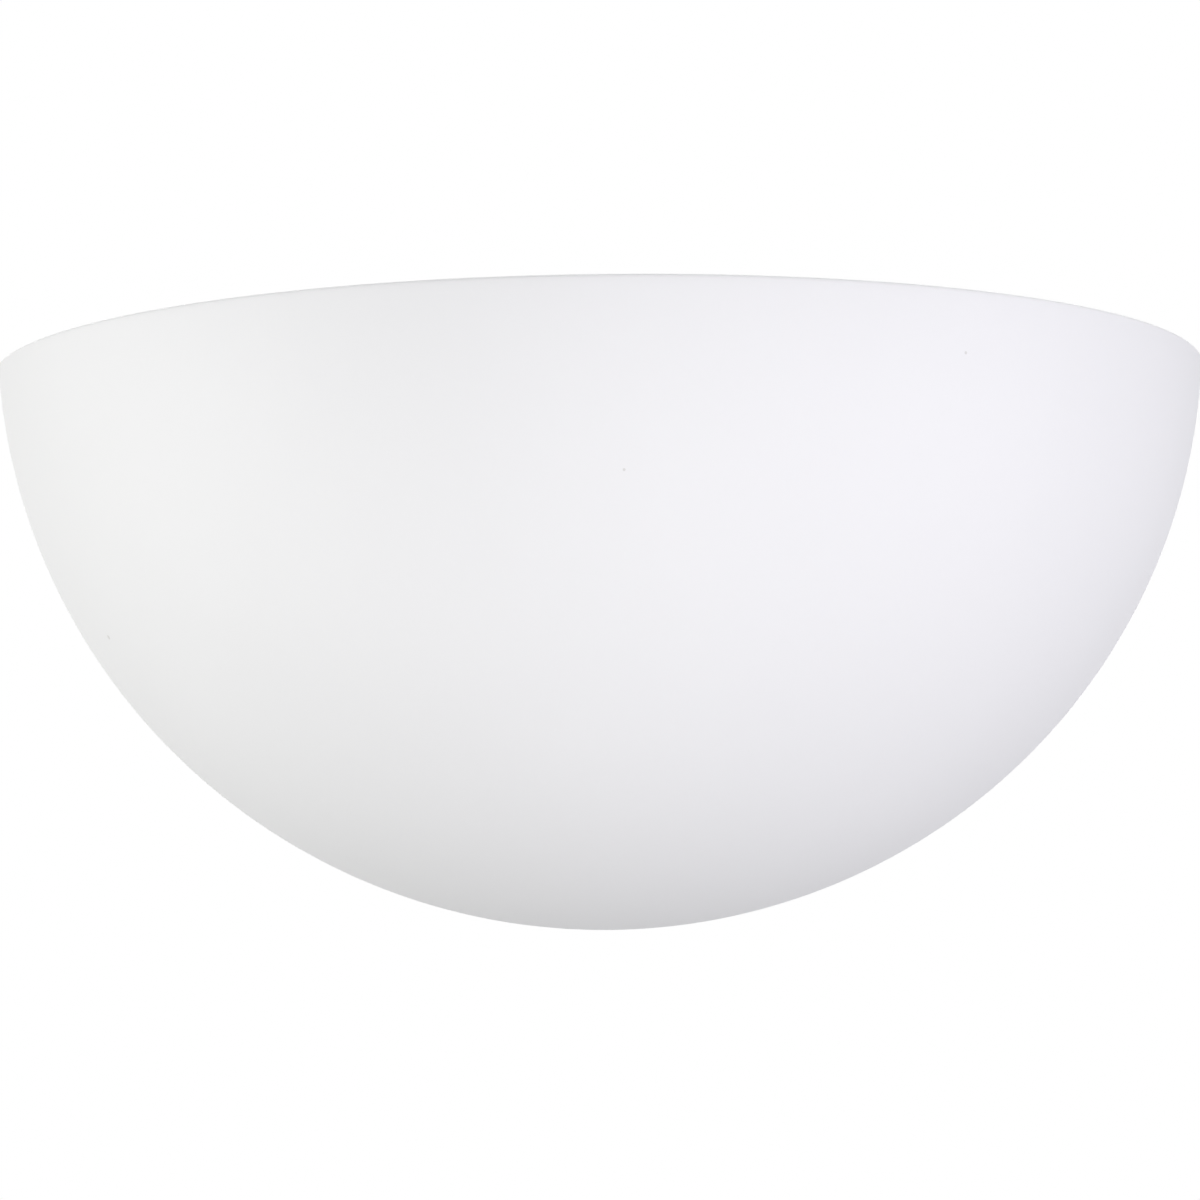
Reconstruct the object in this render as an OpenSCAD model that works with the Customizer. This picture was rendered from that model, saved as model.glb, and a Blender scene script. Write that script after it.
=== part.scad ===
// Half-bowl wall sconce. An open fired-clay bowl hangs on a steel plate, round one lamp that lies level.
// The wall is the plane y = 0 and the front is -Y. The origin is the centre of the wall box's screw pattern.

/* [Bowl] */
// Width of the bowl across its rim, at the wall
bowl_width = 318; // [306:1:340]
// How far the front of the rim stands out from the wall
bowl_depth = 130; // [122:1:142]
// Height of the bowl at the wall, from its lowest point to the rim
bowl_height = 151; // [146:1:158]
// Thickness of the fired wall
bowl_wall = 5.5; // [4:0.5:7]
// Radius of the rim's two edges
rim_edge = 1; // [0.5:0.1:1.8]
// Height of the rim above the centre of the wall box
rim_height = 62; // [58:1:68]
// Width of the lip that lies on the wall
lip_width = 12; // [6:1:14]
// Thickness of the lip
lip_thick = 5.5; // [4:0.5:8]

/* [Bowl ears] */
// Thickness of each ear, front to back
ear_thick = 8; // [6:0.5:10]
// How far an ear reaches above the middle of its stud
ear_above = 13; // [9:1:16]
// How far an ear reaches below the middle of its stud
ear_below = 11; // [6:1:12]
// How far an ear reaches past its stud towards the middle of the bowl
ear_inward = 12; // [9:1:14]
// Side clearance of the notch on the stud
notch_clearance = 0.8; // [0.4:0.1:1.5]

/* [Mounting plate] */
// Width of the pan in the middle of the plate
pan_width = 120; // [117:1:122]
// Height of the pan
pan_height = 84; // [78:1:88]
// Depth of the pan, from the wall to the back of its face
pan_depth = 12; // [11:0.5:16]
// Corner radius of the pan
pan_corner = 8; // [5:1:12]
// Thickness of the sheet steel
plate_gauge = 1.5; // [1:0.1:2]
// Height of the two arms
arm_height = 28; // [24:1:30]
// How far an arm reaches past the middle of its stud
arm_reach = 7; // [6:0.5:8]
// Depth of the turned-up edges that stiffen the arms
arm_edge = 5; // [3:0.5:8]
// How far each bowl stud is in from the end of the rim
stud_inset = 41; // [40:1:44]
// Height of the bowl studs above the centre of the wall box
stud_height = 30; // [27:1:32]

/* [Crossbar] */
// Gap between each end of the crossbar and the pan's wall
crossbar_end_gap = 2.5; // [1.5:0.1:4]
// Height of the crossbar
crossbar_height = 19; // [16:1:22]
// Thickness of the crossbar
crossbar_thick = 2; // [1.5:0.1:3]
// Distance between the wall box's screws
box_spacing = 88.9; // [82:0.1:90]
// Length of each slot for a wall box screw
box_slot_length = 12; // [8:0.5:13]
// Width of each slot for a wall box screw
box_slot_width = 4.8; // [4.4:0.1:6]

/* [Fasteners] */
// Distance between the screws that hold the plate to the crossbar
plate_screw_spacing = 54; // [48:1:60]
// Diameter of the plate screws
plate_screw_d = 4.2; // [3.5:0.1:5]
// Diameter of the bowl studs
stud_d = 4.8; // [4:0.1:6]
// How far the bowl studs stand out of the plate
stud_length = 24; // [23:0.5:26]
// Diameter of the thumb nuts
thumb_nut_d = 16; // [13:0.5:17]
// Thickness of the thumb nuts
thumb_nut_thick = 6; // [5:0.5:7]
// Number of knurls round a thumb nut
thumb_nut_knurls = 24; // [16:1:30]
// Diameter of the washers under the thumb nuts
nut_washer_d = 14; // [11:0.5:16]
// Thickness of the washers under the thumb nuts
nut_washer_thick = 1; // [0.8:0.1:1.5]
// Diameter of the grounding screw
ground_screw_d = 4.8; // [4:0.1:5]
// Diameter of the rivets that hold the socket bracket
rivet_d = 3.2; // [2.5:0.1:4]

/* [Wire bushing] */
// Distance of the bushing to the left of the box centre
bushing_left = 20; // [14:1:24]
// Distance of the bushing below the box centre
bushing_below = 25; // [22:1:26]
// Diameter of the bushing's bore
bushing_bore = 12; // [11:0.5:13]
// Wall thickness of the bushing
bushing_wall = 2; // [1.5:0.1:2.5]
// Thickness of the insulation pad behind the plate
pad_thick = 2.5; // [1.5:0.5:4]

/* [Socket] */
// Distance of the lamp's axis from the wall
socket_out = 52; // [49:1:56]
// Height of the lamp's axis above the centre of the wall box
socket_height = 20; // [16:1:24]
// Distance of the socket's seat to the left of the box centre
socket_left = 57; // [50:1:58]
// Outside diameter of the socket body
socket_d = 38; // [35:0.5:42]
// Length of the socket cap
socket_cap_length = 20; // [18:0.5:24]
// Length of the socket body that stands past the cap
socket_body_length = 32; // [30:0.5:36]
// Wall thickness of the socket cap
socket_cap_wall = 2.4; // [1.5:0.1:3]
// Thickness of the floor inside the socket body
socket_floor = 6; // [5:0.5:8]
// Thickness of the socket bracket
bracket_gauge = 1.5; // [1.2:0.1:2]
// Width of the socket bracket
bracket_width = 24; // [21:1:30]
// Length of the bracket's foot on the plate
bracket_foot = 26; // [22:1:30]
// Outside diameter of the hollow nipple that holds the socket
nipple_d = 10.2; // [9.5:0.1:11]
// Bore of the nipple
nipple_bore = 7.2; // [6.8:0.1:8]
// Distance across the flats of the nipple's nut
nipple_nut_flats = 14.3; // [13:0.1:17]

/* [Lamp] */
// Pitch of the lamp's screw thread
lamp_pitch = 3.629; // [3.4:0.001:3.8]
// Diameter over the lamp's screw thread
lamp_thread_d = 26.4; // [25.6:0.1:26.6]
// Height of the thread's crests over its roots
lamp_thread_depth = 0.85; // [0.5:0.05:1]
// Diameter of the lamp's glass
lamp_d = 60; // [55:1:62]
// Length of the lamp, from its contact to its tip
lamp_length = 108; // [102:1:112]
// Thickness of the lamp's glass
lamp_glass = 0.9; // [0.6:0.1:1.5]

/* [Leads] */
// Diameter of a lead over its insulation
lead_d = 2.4; // [2:0.1:2.6]
// Diameter of the bare grounding wire
ground_wire_d = 1.6; // [1.2:0.1:2.2]

/* [Clearances] */
// Gap between a moving piece and its seat
seat_gap = 0.3; // [0.2:0.05:0.5]
// Radial clearance of a shaft in its hole
shaft_gap = 0.06; // [0.03:0.01:0.1]
// Radial clearance of a screw in a plain hole
hole_gap = 0.3; // [0.2:0.05:0.5]
// Radial clearance between the lamp's thread and the socket's
thread_gap = 0.3; // [0.25:0.05:0.4]

/* [Hidden] */
$fn = 96;

// The bowl is part of one ball: its rim and its back are two flat cuts that meet at the rim's ends.
half_width = bowl_width / 2;
ball_behind = (pow(half_width, 2) - pow(bowl_depth, 2)) / (2 * bowl_depth);
ball_above = (pow(half_width, 2) - pow(bowl_height, 2)) / (2 * bowl_height);
ball_r = sqrt(pow(half_width, 2) + pow(ball_behind, 2) + pow(ball_above, 2));
ball_inner_r = ball_r - bowl_wall;
ball_height = rim_height + ball_above;
rim_edge_drop = ball_above + rim_edge;
rim_outer_r = sqrt(pow(ball_r, 2) - pow(rim_edge_drop, 2));
rim_inner_r = sqrt(pow(ball_inner_r, 2) - pow(rim_edge_drop, 2));
rim_edge_trim = 0.03;
lip_drop = ball_above + 4;
lip_inner_r = sqrt(pow(ball_inner_r, 2) - pow(ball_behind, 2)) - lip_width;
reach = 2 * ball_r;

// Distances out from the wall
plate_front = pan_depth + plate_gauge;
ear_back = plate_front + seat_gap;
ear_front = ear_back + ear_thick;
nut_washer_out = ear_front + seat_gap;
thumb_nut_out = nut_washer_out + nut_washer_thick + seat_gap / 3;
foot_front = plate_front + bracket_gauge;

stud_x = half_width - stud_inset;
arm_end = stud_x + arm_reach;
arm_edge_end = stud_x - ear_inward - 8;
plate_screw_x = plate_screw_spacing / 2;
crossbar_length = pan_width - 2 * plate_gauge - 2 * crossbar_end_gap;
crossbar_corner = 3;
notch_r = stud_d / 2 + notch_clearance;
notch_height = stud_height + stud_d / 2 + seat_gap - notch_r;
stud_head_rim = 2.4;
stud_head_r = stud_d / 2 + stud_head_rim;
stud_head_thick = 1.2;
stud_chamfer = 0.8;

// Lock washers and screw heads
lock_washer_thick = 1;
lock_washer_wall = 1.7;
lock_washer_split = 12;
plate_screw_start = 0.3;
screw_head_rim = 1.9;
screw_head_r = plate_screw_d / 2 + screw_head_rim;
screw_head_thick = 2.4;
screw_slot_width = 1;
screw_slot_deep = 1.2;
ground_x = 22;
ground_z = -bushing_below;
ground_head_r = 4.6;
ground_head_thick = 3.4;
ground_flange_r = 5.4;
ground_flange_thick = 0.9;
ground_tail = 4;
rivet_x = bracket_foot / 2 - socket_left;
rivet_edge = 5.5;
rivet_spacing = bracket_width - 2 * rivet_edge;
rivet_head_r = rivet_d;
rivet_head_thick = 1.6;
rivet_tail_thick = 1;

bushing_r = bushing_bore / 2 + bushing_wall;
bushing_flange_r = bushing_r + 2;
bushing_flange_thick = 2;
bushing_back_length = 4;
pad_margin = 3;
pad_gap = 2;

// The socket and the lamp share one axis. Distances along it run from the bracket's face to the lamp's tip.
body_start = socket_cap_length - 4;
floor_top = body_start + socket_floor;
body_end = socket_cap_length + socket_body_length;
cap_cup_r = socket_d / 2 - socket_cap_wall;
spigot_r = cap_cup_r - 0.2;
hub_r = nipple_d / 2 + 3.4;
hub_length = 5.5;
nipple_back = 14;
nipple_lock_out = bracket_gauge;
nipple_nut_out = nipple_lock_out + lock_washer_thick;
nipple_nut_thick = 3.6;
thread_mean_r = lamp_thread_d / 2 - lamp_thread_depth / 2;
screw_shell_r = lamp_thread_d / 2 + thread_gap + 0.7;
screw_shell_floor = 0.8;
screw_shell_hole = 6.2;
screw_shell_end = body_end - 2;
body_bore_r = screw_shell_r + 0.1;
shell_rivet_r = 1.4;
shell_rivet_place = 9.2;
shell_rivet_head_r = 2.3;
shell_rivet_head_thick = 0.9;
contact_width = 6;
contact_gauge = 0.6;
contact_rise = 4.4;
contact_half = 4.6;
terminal_gauge = 0.7;
terminal_width = 5;
terminal_end = 6.5;
terminal_parting = 2.7;

lamp_start = floor_top + contact_rise + seat_gap;
lamp_end = lamp_start + lamp_length;
tip_contact_r = 4.6;
tip_contact_thick = 1.6;
insulator_thick = 3.2;
insulator_r = 7;
screw_cap_start = lamp_start + tip_contact_thick + insulator_thick;
screw_cap_collar = 6;
screw_cap_wall = 0.45;
collar_start = body_end + 0.5;
collar_end = collar_start + screw_cap_collar;
neck_r = lamp_thread_d / 2 - lamp_thread_depth - screw_cap_wall - 0.3;
shoulder_r = lamp_thread_d / 2 + 0.5;
shoulder_at = collar_end + 3;
globe_r = lamp_d / 2;
globe_at = lamp_end - globe_r;

// The neck's flare meets the globe on a tangent.
flare_run = globe_at - shoulder_at;
flare_angle = asin(globe_r / norm([flare_run, shoulder_r])) - atan2(shoulder_r, flare_run);
flare_end = globe_at - globe_r * sin(flare_angle);
flare_end_r = globe_r * cos(flare_angle);
stem_r = 3;
stem_flare_r = neck_r - lamp_glass - 0.05;
stem_foot = collar_start + 1;
stem_length = 30;
stem_flare_edge = 1;
stem_flare_end = 8;
stem_waist = 14;
stem_shoulder = 2;
filament_half = 11;
filament_rise = 20;
filament_wire_r = 0.4;
filament_r = 0.5;
wire_foot = 1.5;
wire_lean = atan2(filament_half - wire_foot, filament_rise);

// Each lead's route: points chosen by hand, [across, out from the wall, up].
socket_axis = [-socket_left, -socket_out, socket_height];
bushing_place = [-bushing_left, 0, -bushing_below];
lead_parting = 1.6;
lead_foot = 4.2;
lead_end = 2.5;
lead_sides = 8;
lead_steps = 3;

function lead_route(side) = [
  socket_axis + [body_start - terminal_gauge, 0, side * lead_foot],
  socket_axis + [body_start - 3, 0, side * lead_foot],
  socket_axis + [body_start - 5, 0, side * lead_foot],
  socket_axis + [hub_length + 2, 0, side * (lead_parting + 0.3)],
  socket_axis + [2, 0, side * lead_parting],
  socket_axis + [-6, 0, side * lead_parting],
  socket_axis + [-nipple_back, 0, side * lead_parting],
  socket_axis + [-nipple_back - 9, 3, 0] + side * lead_parting * [-0.7, 0, 0.7],
  socket_axis + [-nipple_back - 10, 14, -8] + side * lead_parting * [-1, 0, 0],
  bushing_place + [-38, -plate_front - 9, 10] + side * lead_parting * [-0.7, 0, -0.7],
  bushing_place + [-14, -plate_front - 8, 2] + side * lead_parting * [0, 0, -1],
  bushing_place + [-3, -plate_front - 4, -side * lead_parting],
  bushing_place + [-2, -pan_depth, -side * lead_parting],
  bushing_place + [-2, -lead_end, -side * lead_parting]
];

ground_hook_r = (ground_screw_d + ground_wire_d) / 2 + 0.2;
ground_route = [
  for (a = [-90 : 45 : 90])
    [
      ground_x + ground_hook_r * cos(a),
      -plate_front - ground_wire_d / 2 - 0.05,
      ground_z + ground_hook_r * sin(a)
    ],
  [ground_x - 9, -plate_front - 1.2, ground_z + 3],
  [ground_x - 16, -plate_front - 3, ground_z + 1],
  bushing_place + [14, -plate_front - 4.4, 0],
  bushing_place + [7, -plate_front - 4.4, 0],
  bushing_place + [3.8, -plate_front - 1.5, 0],
  bushing_place + [3.6, -pan_depth + 2, 0],
  bushing_place + [3.6, -lead_end, 0]
];

// A smooth curve through points, and a round tube swept along it
function unit(v) = v / norm(v);

function curve_point(a, b, c, d, t) =
  0.5 * (2 * b + (c - a) * t + (2 * a - 5 * b + 4 * c - d) * pow(t, 2) + (3 * b - a - 3 * c + d) * pow(t, 3));

function smooth_route(p, steps) = [
  for (i = [0 : len(p) - 2], k = [0 : steps - 1])
    curve_point(p[max(i - 1, 0)], p[i], p[i + 1], p[min(i + 2, len(p) - 1)], k / steps),
  p[len(p) - 1]
];

function heading(p, i) = unit(p[min(i + 1, len(p) - 1)] - p[max(i - 1, 0)]);

function square_to(v, t) = unit(v - (v * t) * t);

function side_vectors(p, v, i = 0) =
  i == len(p) ? [] : let (s = square_to(v, heading(p, i))) concat([s], side_vectors(p, s, i + 1));

module tube(p, r) {
  sides = side_vectors(p, [0, 0.3, 1]);
  n = lead_sides;
  last = len(p) - 1;
  points = [
    for (i = [0 : last], k = [0 : n - 1])
      let (u = sides[i], w = cross(heading(p, i), u))
      p[i] + r * (cos(360 * k / n) * u + sin(360 * k / n) * w)
  ];
  walls = [
    for (i = [0 : last - 1], k = [0 : n - 1])
      let (a = i * n + k, b = i * n + (k + 1) % n)
      each [[a, a + n, b], [b, a + n, b + n]]
  ];
  start = [for (k = [0 : n - 1]) k];
  end = [for (k = [n - 1 : -1 : 0]) last * n + k];
  polyhedron(points, concat([start], walls, [end]), convexity = 8);
}

// A solid rod with a right-handed rolled thread. Equal distances along the axis carry equal phases.
module threaded_rod(mean_r, from, to) {
  sides = 24;
  rows = ceil((to - from) / lamp_pitch * 6);
  points = [
    for (i = [0 : rows], k = [0 : sides - 1])
      let (z = from + (to - from) * i / rows, a = 360 * k / sides)
      let (r = mean_r + lamp_thread_depth / 2 * cos(360 * z / lamp_pitch - a))
      [r * cos(a), r * sin(a), z]
  ];
  walls = [
    for (i = [0 : rows - 1], k = [0 : sides - 1])
      let (a = i * sides + k, b = i * sides + (k + 1) % sides)
      each [[a, a + sides, b], [b, a + sides, b + sides]]
  ];
  start = [for (k = [0 : sides - 1]) k];
  end = [for (k = [sides - 1 : -1 : 0]) rows * sides + k];
  polyhedron(points, concat([start], walls, [end]), convexity = 12);
}

// Places: a piece drawn along +Z comes out of the wall, or runs along the lamp's axis.
module out_of_wall(x, out, z) {
  translate([x, -out, z])
    rotate([90, 0, 0])
      children();
}

module along_lamp(distance = 0) {
  translate(socket_axis + [distance, 0, 0])
    rotate([0, 90, 0])
      children();
}

module both_sides() {
  children();
  mirror([1, 0, 0])
    children();
}

module rounded_rectangle(width, height, r) {
  square([width - 2 * r, height], center = true);
  square([width, height - 2 * r], center = true);
  for (x = [-1, 1], y = [-1, 1])
    translate([x * (width / 2 - r), y * (height / 2 - r)])
      circle(r);
}

module slot(length, width) {
  square([length - width, width], center = true);
  for (x = [-1, 1])
    translate([x * (length - width) / 2, 0])
      circle(width / 2);
}

module ring(outer_r, inner_r, height) {
  difference() {
    cylinder(h = height, r = outer_r);
    translate([0, 0, -1])
      cylinder(h = height + 2, r = inner_r);
  }
}

module lock_washer(hole_r) {
  rotate_extrude(angle = 360 - lock_washer_split)
    translate([hole_r, 0])
      square([lock_washer_wall, lock_washer_thick]);
}

module rivet(r, head_r, head_thick, grip, tail_r, tail_thick) {
  translate([0, 0, grip])
    cylinder(h = head_thick, r = head_r);
  translate([0, 0, -tail_thick])
    cylinder(h = tail_thick, r = tail_r);
  translate([0, 0, -tail_thick / 2])
    cylinder(h = grip + tail_thick, r = r);
}

// The bowl
function rim_edge_points(centre, from, to) = [
  for (a = [from : (to - from) / 4 : to])
    [centre + rim_edge * cos(a), rim_edge * sin(a) - rim_edge_drop]
];

// Half of the ball's wall, cut flat below the rim, with both of the rim's edges rounded
module bowl_profile() {
  intersection() {
    difference() {
      circle(ball_r);
      circle(ball_inner_r);
    }
    polygon(concat(
      [[0, -reach], [0, -rim_edge_drop]],
      rim_edge_points(rim_inner_r + rim_edge - rim_edge_trim, 180, 90),
      rim_edge_points(rim_outer_r - rim_edge + rim_edge_trim, 90, 0),
      [[reach, -rim_edge_drop], [reach, -reach]]
    ));
  }
}

module wall_lip() {
  difference() {
    sphere(ball_r - bowl_wall / 2);
    translate([-reach, -reach, -lip_drop])
      cube(2 * reach);
    translate([-reach, -ball_behind - lip_thick - reach, -reach])
      cube([2 * reach, reach, 2 * reach]);
    rotate([90, 0, 0])
      cylinder(h = reach, r = lip_inner_r, center = true);
  }
}

// An ear is a block that runs out from beside the stud and ends inside the bowl's wall.
module ear_outline() {
  difference() {
    translate([stud_x - ear_inward, stud_height - ear_below])
      square([reach, ear_above + ear_below]);
    translate([stud_x, notch_height])
      circle(notch_r);
    translate([stud_x - notch_r, notch_height - reach])
      square([2 * notch_r, reach]);
  }
}

module ears() {
  intersection() {
    translate([0, ball_behind, ball_height])
      sphere(ball_r - bowl_wall / 2);
    both_sides()
      out_of_wall(0, ear_back, 0)
        linear_extrude(ear_thick)
          ear_outline();
  }
}

module bowl_shell() {
  color([0.93, 0.93, 0.93])
    intersection() {
      union() {
        translate([0, ball_behind, ball_height]) {
          rotate_extrude()
            bowl_profile();
          wall_lip();
        }
        ears();
      }
      translate([-reach, -2 * reach, -reach])
        cube([2 * reach, 2 * reach, 2 * reach]);
    }
}

// The mounting plate and what is fixed to it
module pan_outline(inset) {
  rounded_rectangle(pan_width - 2 * inset, pan_height - 2 * inset, pan_corner - inset);
}

module pan() {
  difference() {
    linear_extrude(plate_front)
      pan_outline(0);
    translate([0, 0, -1])
      linear_extrude(pan_depth + 1)
        pan_outline(plate_gauge);
  }
}

module arms() {
  translate([0, stud_height, pan_depth])
    linear_extrude(plate_gauge)
      difference() {
        rounded_rectangle(2 * arm_end, arm_height, 6);
        square([pan_width - 2 * plate_gauge, arm_height + 2], center = true);
      }
  for (x = [-1, 1], z = [-1, 1])
    translate([
      x * (pan_width / 2 + arm_edge_end) / 2,
      stud_height + z * (arm_height - plate_gauge) / 2,
      pan_depth + arm_edge / 2
    ])
      cube([arm_edge_end - pan_width / 2, plate_gauge, arm_edge], center = true);
}

module plate_holes() {
  for (x = [-1, 1]) {
    translate([x * plate_screw_x, 0])
      circle(plate_screw_d / 2 + hole_gap);
    translate([x * stud_x, stud_height])
      circle(stud_d / 2 + shaft_gap);
  }
  translate([-bushing_left, -bushing_below])
    circle(bushing_r + shaft_gap);
  translate([ground_x, ground_z])
    circle(ground_screw_d / 2 + shaft_gap);
  for (z = [-1, 1])
    translate([rivet_x, socket_height + z * rivet_spacing / 2])
      circle(rivet_d / 2 + shaft_gap);
}

module mounting_plate() {
  color([0.78, 0.79, 0.8])
    out_of_wall(0, 0, 0)
      difference() {
        union() {
          pan();
          arms();
        }
        translate([0, 0, pan_depth - 1])
          linear_extrude(plate_gauge + 2)
            plate_holes();
      }
}

module crossbar() {
  color([0.72, 0.73, 0.75])
    out_of_wall(0, 0, 0)
      linear_extrude(crossbar_thick)
        difference() {
          rounded_rectangle(crossbar_length, crossbar_height, crossbar_corner);
          for (x = [-1, 1]) {
            translate([x * box_spacing / 2, 0])
              slot(box_slot_length, box_slot_width);
            translate([x * plate_screw_x, 0])
              circle(plate_screw_d / 2 + shaft_gap);
          }
        }
}

module insulation_pad() {
  rivet_room = rivet_head_r + pad_gap;
  color([0.9, 0.89, 0.84])
    out_of_wall(0, pan_depth - pad_thick, 0)
      linear_extrude(pad_thick)
        difference() {
          pan_outline(plate_gauge + pad_margin);
          for (x = [-1, 1])
            translate([x * plate_screw_x, 0])
              circle(plate_screw_d / 2 + pad_gap);
          translate([-bushing_left, -bushing_below])
            circle(bushing_r + pad_gap);
          translate([ground_x, ground_z])
            circle(ground_screw_d / 2 + pad_gap);
          translate([rivet_x, socket_height])
            square([2 * rivet_room, rivet_spacing + 2 * rivet_room], center = true);
        }
}

module wire_bushing() {
  color([0.12, 0.12, 0.13])
    out_of_wall(-bushing_left, 0, -bushing_below)
      rotate_extrude()
        polygon([
          [bushing_bore / 2, pan_depth - bushing_back_length],
          [bushing_r - 1, pan_depth - bushing_back_length],
          [bushing_r, pan_depth - bushing_back_length + 2],
          [bushing_r, plate_front],
          [bushing_flange_r, plate_front],
          [bushing_flange_r, plate_front + bushing_flange_thick - 0.8],
          [bushing_flange_r - 0.8, plate_front + bushing_flange_thick],
          [bushing_bore / 2 + 0.8, plate_front + bushing_flange_thick],
          [bushing_bore / 2, plate_front + bushing_flange_thick - 0.8]
        ]);
}

module plate_screw() {
  head_back = plate_front + lock_washer_thick;
  difference() {
    union() {
      translate([0, 0, plate_screw_start])
        cylinder(h = head_back, r = plate_screw_d / 2);
      translate([0, 0, head_back])
        cylinder(h = screw_head_thick, r = screw_head_r);
    }
    translate([0, 0, head_back + screw_head_thick])
      cube([2 * screw_head_r + 2, screw_slot_width, 2 * screw_slot_deep], center = true);
  }
}

module plate_screws() {
  color([0.8, 0.8, 0.78])
    for (x = [-1, 1])
      out_of_wall(x * plate_screw_x, 0, 0)
        rotate([0, 0, 25 * x])
          plate_screw();
}

module plate_lock_washers() {
  color([0.7, 0.7, 0.7])
    for (x = [-1, 1])
      out_of_wall(x * plate_screw_x, plate_front, 0)
        rotate([0, 0, 60])
          lock_washer(plate_screw_d / 2 + 0.15);
}

module bowl_studs() {
  color([0.8, 0.8, 0.78])
    for (x = [-1, 1])
      out_of_wall(x * stud_x, 0, stud_height) {
        translate([0, 0, pan_depth - stud_head_thick])
          cylinder(h = stud_head_thick, r = stud_head_r);
        translate([0, 0, pan_depth - stud_head_thick / 2])
          cylinder(h = stud_head_thick / 2 + plate_gauge + stud_length - stud_chamfer, r = stud_d / 2);
        translate([0, 0, plate_front + stud_length - stud_chamfer])
          cylinder(h = stud_chamfer, r1 = stud_d / 2, r2 = stud_d / 2 - 0.75 * stud_chamfer);
      }
}

module nut_washer(side) {
  color([0.75, 0.75, 0.76])
    out_of_wall(side * stud_x, nut_washer_out, stud_height)
      ring(nut_washer_d / 2, stud_d / 2 + shaft_gap, nut_washer_thick);
}

module thumb_nut(side) {
  knurl_r = PI * thumb_nut_d / thumb_nut_knurls / 4;
  shoulder = 1.2;
  color([0.82, 0.68, 0.4])
    out_of_wall(side * stud_x, thumb_nut_out, stud_height)
      difference() {
        union() {
          cylinder(h = shoulder, r = thumb_nut_d / 2 - 2.5);
          translate([0, 0, shoulder])
            cylinder(h = thumb_nut_thick - shoulder, r = thumb_nut_d / 2);
        }
        translate([0, 0, -1])
          cylinder(h = thumb_nut_thick + 2, r = stud_d / 2 + shaft_gap);
        for (k = [0 : thumb_nut_knurls - 1])
          rotate([0, 0, 360 * k / thumb_nut_knurls])
            translate([thumb_nut_d / 2 + knurl_r / 3, 0, shoulder - 1])
              cylinder(h = thumb_nut_thick + 1, r = knurl_r, $fn = 24);
      }
}

module left_nut_washer() {
  nut_washer(-1);
}

module left_thumb_nut() {
  thumb_nut(-1);
}

module right_nut_washer() {
  nut_washer(1);
}

module right_thumb_nut() {
  thumb_nut(1);
}

module ground_screw() {
  washer_seat = plate_front + ground_wire_d + 0.1;
  color([0.16, 0.5, 0.24])
    out_of_wall(ground_x, 0, ground_z) {
      translate([0, 0, pan_depth - ground_tail])
        cylinder(h = ground_tail + plate_gauge + ground_wire_d + 0.6, r = ground_screw_d / 2);
      translate([0, 0, washer_seat])
        cylinder(h = ground_flange_thick, r = ground_flange_r);
      translate([0, 0, washer_seat + ground_flange_thick])
        cylinder(h = ground_head_thick, r = ground_head_r, $fn = 6);
    }
}

module ground_wire() {
  color([0.78, 0.45, 0.28])
    tube(smooth_route(ground_route, lead_steps), ground_wire_d / 2);
}

// The socket's bracket and what holds it
module socket_bracket() {
  end_out = socket_out + bracket_width / 2;
  color([0.78, 0.79, 0.8])
    difference() {
      union() {
        translate([-socket_left - bracket_gauge, -socket_out, socket_height - bracket_width / 2])
          cube([bracket_gauge, socket_out - plate_front, bracket_width]);
        along_lamp(-bracket_gauge)
          cylinder(h = bracket_gauge, r = bracket_width / 2);
        translate([-socket_left - bracket_gauge, -foot_front, socket_height - bracket_width / 2])
          cube([bracket_foot + bracket_gauge, bracket_gauge, bracket_width]);
      }
      along_lamp(-bracket_gauge - 1)
        cylinder(h = bracket_gauge + 2, r = nipple_d / 2 + shaft_gap);
      for (z = [-1, 1])
        out_of_wall(rivet_x, plate_front - 1, socket_height + z * rivet_spacing / 2)
          cylinder(h = bracket_gauge + 2, r = rivet_d / 2 + shaft_gap);
    }
}

module bracket_rivets() {
  color([0.75, 0.75, 0.77])
    for (z = [-1, 1])
      out_of_wall(rivet_x, pan_depth, socket_height + z * rivet_spacing / 2)
        rivet(
          rivet_d / 2, rivet_head_r, rivet_head_thick, plate_gauge + bracket_gauge,
          rivet_head_r - 0.4, rivet_tail_thick
        );
}

module socket_nipple() {
  color([0.8, 0.72, 0.45])
    along_lamp(-nipple_back)
      ring(nipple_d / 2, nipple_bore / 2, nipple_back + hub_length - 0.5);
}

module nipple_lock_washer() {
  color([0.7, 0.7, 0.7])
    along_lamp(-nipple_nut_out)
      lock_washer(nipple_d / 2 + 0.15);
}

module nipple_nut() {
  color([0.8, 0.8, 0.78])
    along_lamp(-nipple_nut_out - nipple_nut_thick)
      difference() {
        cylinder(h = nipple_nut_thick, r = nipple_nut_flats / 2 / cos(30), $fn = 6);
        translate([0, 0, -1])
          cylinder(h = nipple_nut_thick + 2, r = nipple_d / 2 + shaft_gap);
      }
}

// The socket
module socket_cap() {
  outer_r = socket_d / 2;
  color([0.93, 0.92, 0.88])
    along_lamp()
      rotate_extrude()
        polygon([
          [nipple_d / 2 + shaft_gap, 0],
          [hub_r, 0],
          [hub_r, hub_length - 1.5],
          [outer_r - 2, hub_length + 3.5],
          [outer_r, hub_length + 5.5],
          [outer_r, socket_cap_length],
          [cap_cup_r, socket_cap_length],
          [cap_cup_r, hub_length + 6.5],
          [hub_r, hub_length + 1],
          [nipple_d / 2 + shaft_gap, hub_length]
        ]);
}

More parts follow.
